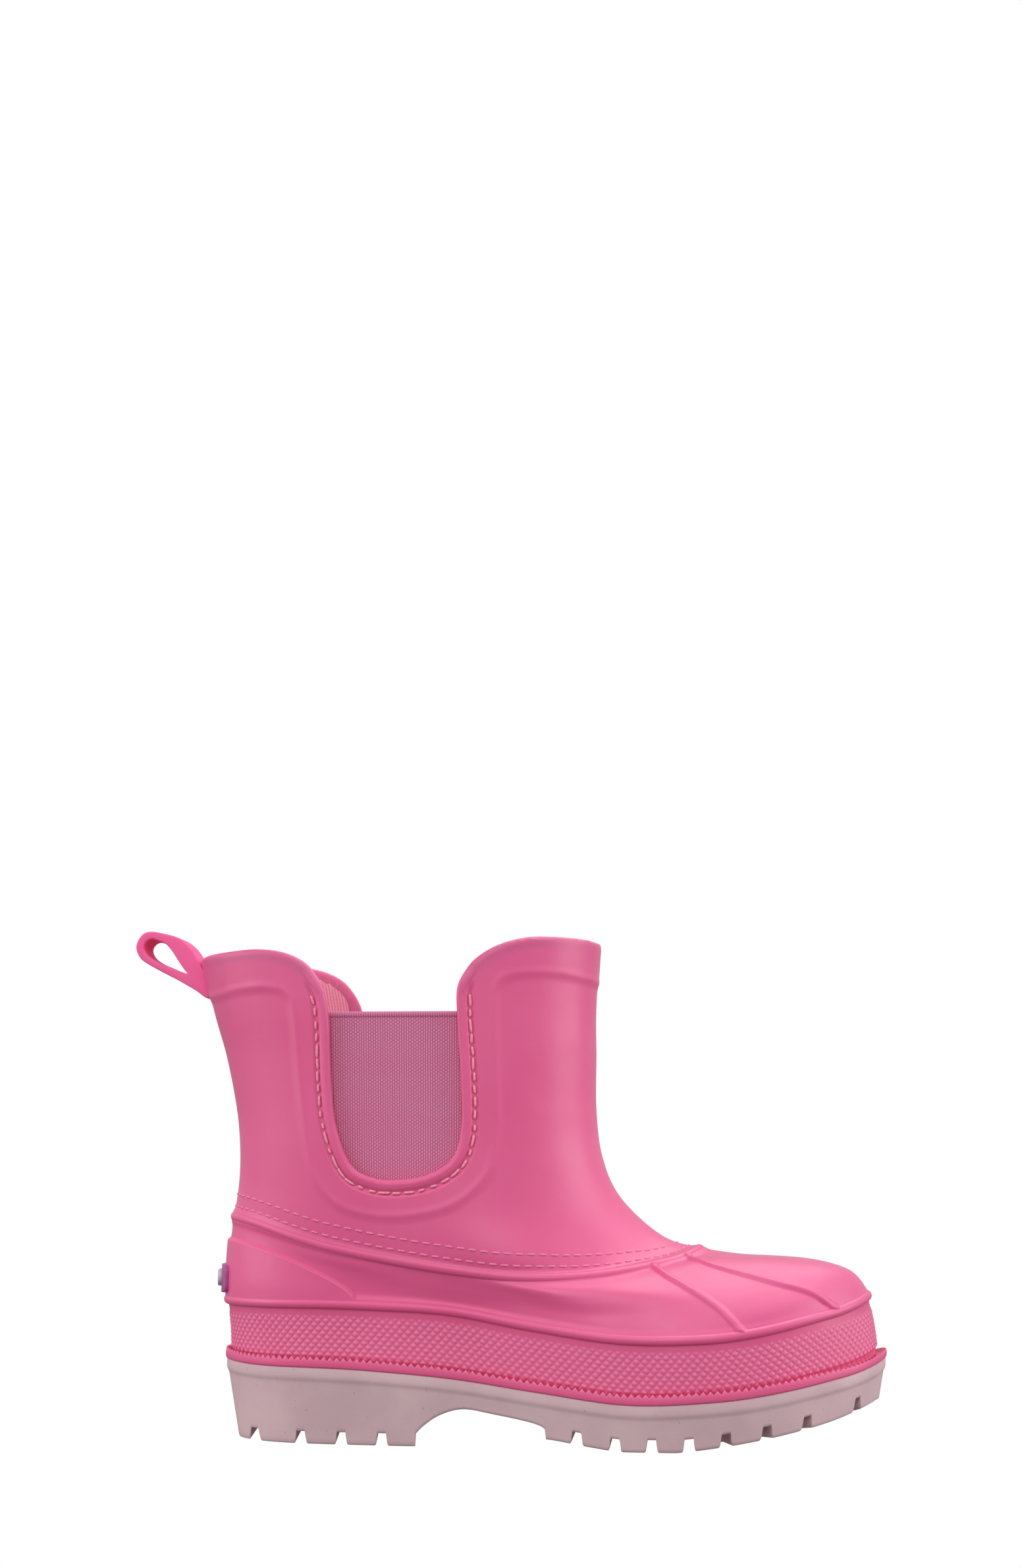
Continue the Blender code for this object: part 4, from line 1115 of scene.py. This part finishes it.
def make_elastic(label, side):
    """The elastic panel: columns of small loops, with a rolled and ribbed hem along its top."""
    bottom = gore_edge_x(0.0)[2] + 0.3
    heights = bottom + (GORE_TOP - 1.6 - bottom) * np.linspace(0, 1, 331)
    rear, fore, _ = gore_edge_x(heights)
    columns = 381
    x = rear[:, None] + (fore - rear)[:, None] * np.linspace(0, 1, columns)
    z = np.broadcast_to(heights[:, None], x.shape)
    coarse = (slice(None, None, 10), slice(None, None, 10))
    spots = np.stack([x[coarse].ravel(), z[coarse].ravel()], axis=1)
    level, turn = (v.reshape(x[coarse].shape) for v in from_side(spots))
    level, turn = (enlarged(v, x.shape) for v in (level, turn))
    u, v = x / WEAVE[0], z / WEAVE[1]
    odd = np.floor(u + 0.5) % 2
    column = 0.5 + 0.5 * np.cos(TAU * u)
    loop = (0.5 + 0.5 * np.cos(TAU * (v + 0.5 * odd))) ** 0.6
    # relief is the height of the loops, and also where the material paints shade in the hollows between them.
    relief = column**0.7 * (0.25 + 0.75 * loop)
    depth = -SHELL - 0.55
    front = grid(on_skin(UPPER_SKIN, level, side * turn, depth + 0.13 * relief), inwards=side < 0)
    back = on_skin(UPPER_SKIN, level[coarse], side * turn[coarse], depth - ELASTIC + 0.4)
    back = grid(back, inwards=side > 0)
    points, quads = merged(front, back)
    # The back face gets a fixed relief, which paints it mostly with the painted shade colour.
    relief = np.concatenate([relief.ravel(), np.full(len(back[0]), 0.3)])
    piece = mesh_object(f"elastic_{label}", (points, quads), WEBBING, relief)
    on_boot(piece, f"gore_{label}")

    rear, fore, _ = gore_edge_x(np.array([GORE_TOP - 1.0]))
    x = np.linspace(rear[0] + 0.5, fore[0] - 0.5, 40)
    level, turn = from_side(np.stack([x, np.full(40, GORE_TOP - 0.95)], axis=1))
    index = np.linspace(0, 39, 640)
    level, turn = (np.interp(index, np.arange(40), v) for v in (level, turn))
    along = np.interp(index, np.arange(40), x)
    rib = np.abs(np.cos(math.pi * along / WEAVE[0]))
    high, wide = 0.75 + 0.12 * rib, 0.86 + 0.08 * rib
    part = skin_tube(UPPER_SKIN, level, side * turn, depth - 0.35, high, wide, sides=HEM_SIDES)
    # The hem's relief paints shade between its ribs and lighter colour on their tops.
    relief = np.repeat(0.1 + 0.45 * rib, HEM_SIDES)
    hem = mesh_object(f"elastic_hem_{label}", part, WEBBING, relief)
    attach(hem, "boot")


def enlarged(values, shape):
    """A grid of smooth values, filled in between its own rows and columns."""
    rows, columns = values.shape
    at = np.linspace(0, columns - 1, shape[1])
    wide = np.array([np.interp(at, np.arange(columns), row) for row in values])
    at = np.linspace(0, rows - 1, shape[0])
    return np.array([np.interp(at, np.arange(rows), column) for column in wide.T]).T


def make_lining():
    """The ribbed knit lining, from the foot up to a little below the collar."""
    turns = lap_turns(720)
    low = level_at(UPPER_SKIN, 0, turns, 1.0)
    levels = low + (TOP_LEVEL - 0.2 - low) * np.linspace(0, 1, 200)[:, None]
    points = on_skin(UPPER_SKIN, levels, turns)
    edge, grow = side_distance(spline(COLLAR_LINE, 8), points[..., 0], points[..., 2])
    beside = 1 - rise(points[..., 2], GORE_TOP, GORE_TOP + 2.5)
    inside = edge - LINING_EDGE - (GORE_MARGIN + 0.9 - LINING_EDGE) * beside
    ragged = 0.16 * np.sin(turns * 229) + 0.14 * np.sin(turns * 96)
    deep = -SHELL - 0.6 - 0.35 * np.clip(SEAM_LEVEL - levels, 0, None)
    around = np.cumsum(np.linalg.norm(np.diff(points[100], axis=0, prepend=points[100][-1:]), axis=1))
    around = np.broadcast_to(around, levels.shape)
    weave = np.stack([around, points[..., 2], np.zeros(levels.shape)], axis=-1)
    parts, places = [], []
    for offset, inwards in ((deep - LINING, True), (deep, False)):
        layer = grid(on_skin(UPPER_SKIN, levels, turns, offset), closed=True, inwards=inwards)
        layer_points, layer_quads, used = trimmed(layer, inside + ragged, grow)
        parts.append((layer_points, layer_quads))
        places.append(weave.reshape(-1, 3)[used])
    piece = mesh_object("lining_knit", merged(*parts), KNIT, weave=np.concatenate(places))
    on_boot(piece, "sock_lining")


FOOTBED_INSET = 8.9
FOOTBED_HOLLOW = 0.7
# How far each row round the footbed's edge stands back from its side, and its height over the sole's edge.
FOOTBED_EDGE = ((0.9, 2.6), (0.1, 3.5), (0.1, 5.3), (0.5, 6.1), (1.4, 6.6))


def make_footbed():
    """The loose padded insole: a soft slab with rounded edges, dished for the foot."""
    turns = lap_turns(360)
    rows = [wall_point(turns, -FOOTBED_INSET - back, lift) for back, lift in FOOTBED_EDGE]
    bottom, rim = rows[0], rows[-1]
    middle = smooth(BEND_X, BEND_Y, np.clip(rim[:, 0], 0, 195))

    def drawn_in(lap, share):
        lap = lap.copy()
        lap[:, 1] = middle + (lap[:, 1] - middle) * share
        return lap

    for share in (0.85, 0.65, 0.4, 0.2, 0.02):
        lap = drawn_in(rim, share)
        lap[:, 2] -= FOOTBED_HOLLOW * (1 - share**2)
        rows.append(lap)
    points = np.array([drawn_in(bottom, 0.02)] + rows)
    slab = mesh_object("footbed_cushion", grid(points, closed=True), FABRIC, weave=points[..., [1, 0, 2]])
    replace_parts(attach(slab, "footbed"), "footbed")


def strap_section(half):
    """y and height round a strap with rounded corners: one row for each of these half thicknesses."""
    corner = np.linspace(0, math.pi / 2, 6)
    y, up = [], []
    for turn in range(4):
        quarter = turn * math.pi / 2
        angles = corner + quarter
        across, high = np.sign(np.cos(quarter + 0.1)), np.sign(np.sin(quarter + 0.1))
        y.append(across * (LOOP_WIDTH / 2 - LOOP_ROUND) + LOOP_ROUND * np.cos(angles))
        up.append(high * (half - LOOP_ROUND)[:, None] + LOOP_ROUND * np.sin(angles))
    y = np.broadcast_to(np.concatenate(y), (len(half), 24))
    return y, np.concatenate(up, axis=1)


def make_pull_loop():
    """The rubber finger loop at the back, bent out of the shaft in one piece."""
    outside, hole = spline(LOOP_OUTSIDE, 10, True), spline(LOOP_HOLE, 10, True)
    middle, half = (outside + hole) / 2, (outside - hole) / 2
    thick = np.linalg.norm(half, axis=1)
    y, up = strap_section(thick)
    place = middle[:, None] + (half / thick[:, None])[:, None] * up[..., None]
    points = np.stack([place[..., 0], y, place[..., 1]], axis=-1)
    points = np.concatenate([points, points[:1]])
    strap = mesh_object("pull_strap", grid(points, closed=True), PINK_LOOP)
    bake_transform(strap)
    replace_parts(strap, "pull_loop")


def dress_inner_pieces():
    """The pieces that stay as they are in the CAD model get their own materials."""
    for node, material in (("heel_filler", FOAM), ("insole_board", BOARD)):
        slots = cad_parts[node].material_slots
        for slot in slots:
            slot.material = material


# ---- studio ----

def seen_white(tree, output, ambient):
    """White to the eye, and a weaker light to everything else."""
    path = tree.nodes.new("ShaderNodeLightPath")
    strength = tree.nodes.new("ShaderNodeMapRange")
    strength.inputs["To Min"].default_value = ambient
    tree.links.new(path.outputs["Is Camera Ray"], strength.inputs["Value"])
    tree.links.new(strength.outputs["Result"], output)


WORLD_LIGHT = 0.62
FLOOR_LIGHT = 0.25
FLOOR_HALF = 30
# Name, place in metres, size and power. The gloss light shows only as a reflection.
LAMPS = (
    ("top", (0.05, -0.15, 1.1), 1.2, 0.9),
    ("gloss", (0.3, 0.2, 1.0), 1.0, 9.0),
    ("left", (-1.0, -0.35, 0.45), 0.8, 4.2),
    ("right", (1.1, -0.05, 0.4), 0.8, 5.4),
    ("front", (0.0, -1.3, 0.9), 0.9, 5.9),
)
LAMP_TARGET = (0.0, 0.0, 0.07)


def make_backdrop():
    """A pale floor that runs into a white background."""
    scene = bpy.context.scene
    scene.view_settings.view_transform = "Standard"
    world = bpy.data.worlds.new("studio")
    scene.world = world
    world.use_nodes = True
    background = world.node_tree.nodes["Background"]
    background.inputs["Color"].default_value = (1, 1, 1, 1)
    seen_white(world.node_tree, background.inputs["Strength"], WORLD_LIGHT)

    mesh = bpy.data.meshes.new("floor")
    corners = [(FLOOR_HALF * x, FLOOR_HALF * y, 0) for x, y in ((-1, -1), (1, -1), (1, 1), (-1, 1))]
    mesh.from_pydata(corners, [], [(0, 1, 2, 3)])
    floor = bpy.data.objects.new("floor", mesh)
    scene.collection.objects.link(floor)
    material = bpy.data.materials.new("floor")
    material.use_nodes = True
    tree = material.node_tree
    tree.nodes.clear()
    glow = tree.nodes.new("ShaderNodeEmission")
    out = tree.nodes.new("ShaderNodeOutputMaterial")
    tree.links.new(glow.outputs[0], out.inputs["Surface"])
    seen_white(tree, glow.inputs["Strength"], FLOOR_LIGHT)
    mesh.materials.append(material)


def make_lamps():
    """Large soft lights, all turned towards the boot."""
    for name, place, size, power in LAMPS:
        light = bpy.data.lights.new(name, "AREA")
        light.size = size
        light.energy = power
        lamp = bpy.data.objects.new(name, light)
        bpy.context.scene.collection.objects.link(lamp)
        lamp.location = place
        lamp.visible_diffuse = name != "gloss"
        target = np.array(LAMP_TARGET) - np.array(place)
        flat = math.hypot(target[0], target[1])
        tilt, heading = math.atan2(target[2], flat), math.atan2(-target[0], target[1])
        lamp.rotation_euler = (math.pi / 2 + tilt, 0, heading)


CAMERA_LENS = 54.14
CAMERA_SHIFT = 0.2563
CAMERA_PLACE = (0.0745, -0.6960, 0.0744)
CAMERA_TURN = 6


def make_camera():
    """A level camera, shifted up so that the boot stands low in the frame."""
    camera = bpy.data.cameras.new("camera")
    camera.lens = CAMERA_LENS
    camera.shift_y = CAMERA_SHIFT
    holder = bpy.data.objects.new("camera", camera)
    bpy.context.scene.collection.objects.link(holder)
    holder.location = CAMERA_PLACE
    holder.rotation_euler = (math.pi / 2, 0, math.radians(CAMERA_TURN))
    bpy.context.scene.camera = holder


make_camera()
make_backdrop()
make_lamps()
make_outsole()
make_welt()
make_foxing()
make_lower_shell()
make_heel_panel()
make_badge()
make_shaft()
make_stitches()
for side_label, side_sign in (("lateral", 1), ("medial", -1)):
    make_elastic(side_label, side_sign)
make_lining()
make_footbed()
make_pull_loop()
dress_inner_pieces()
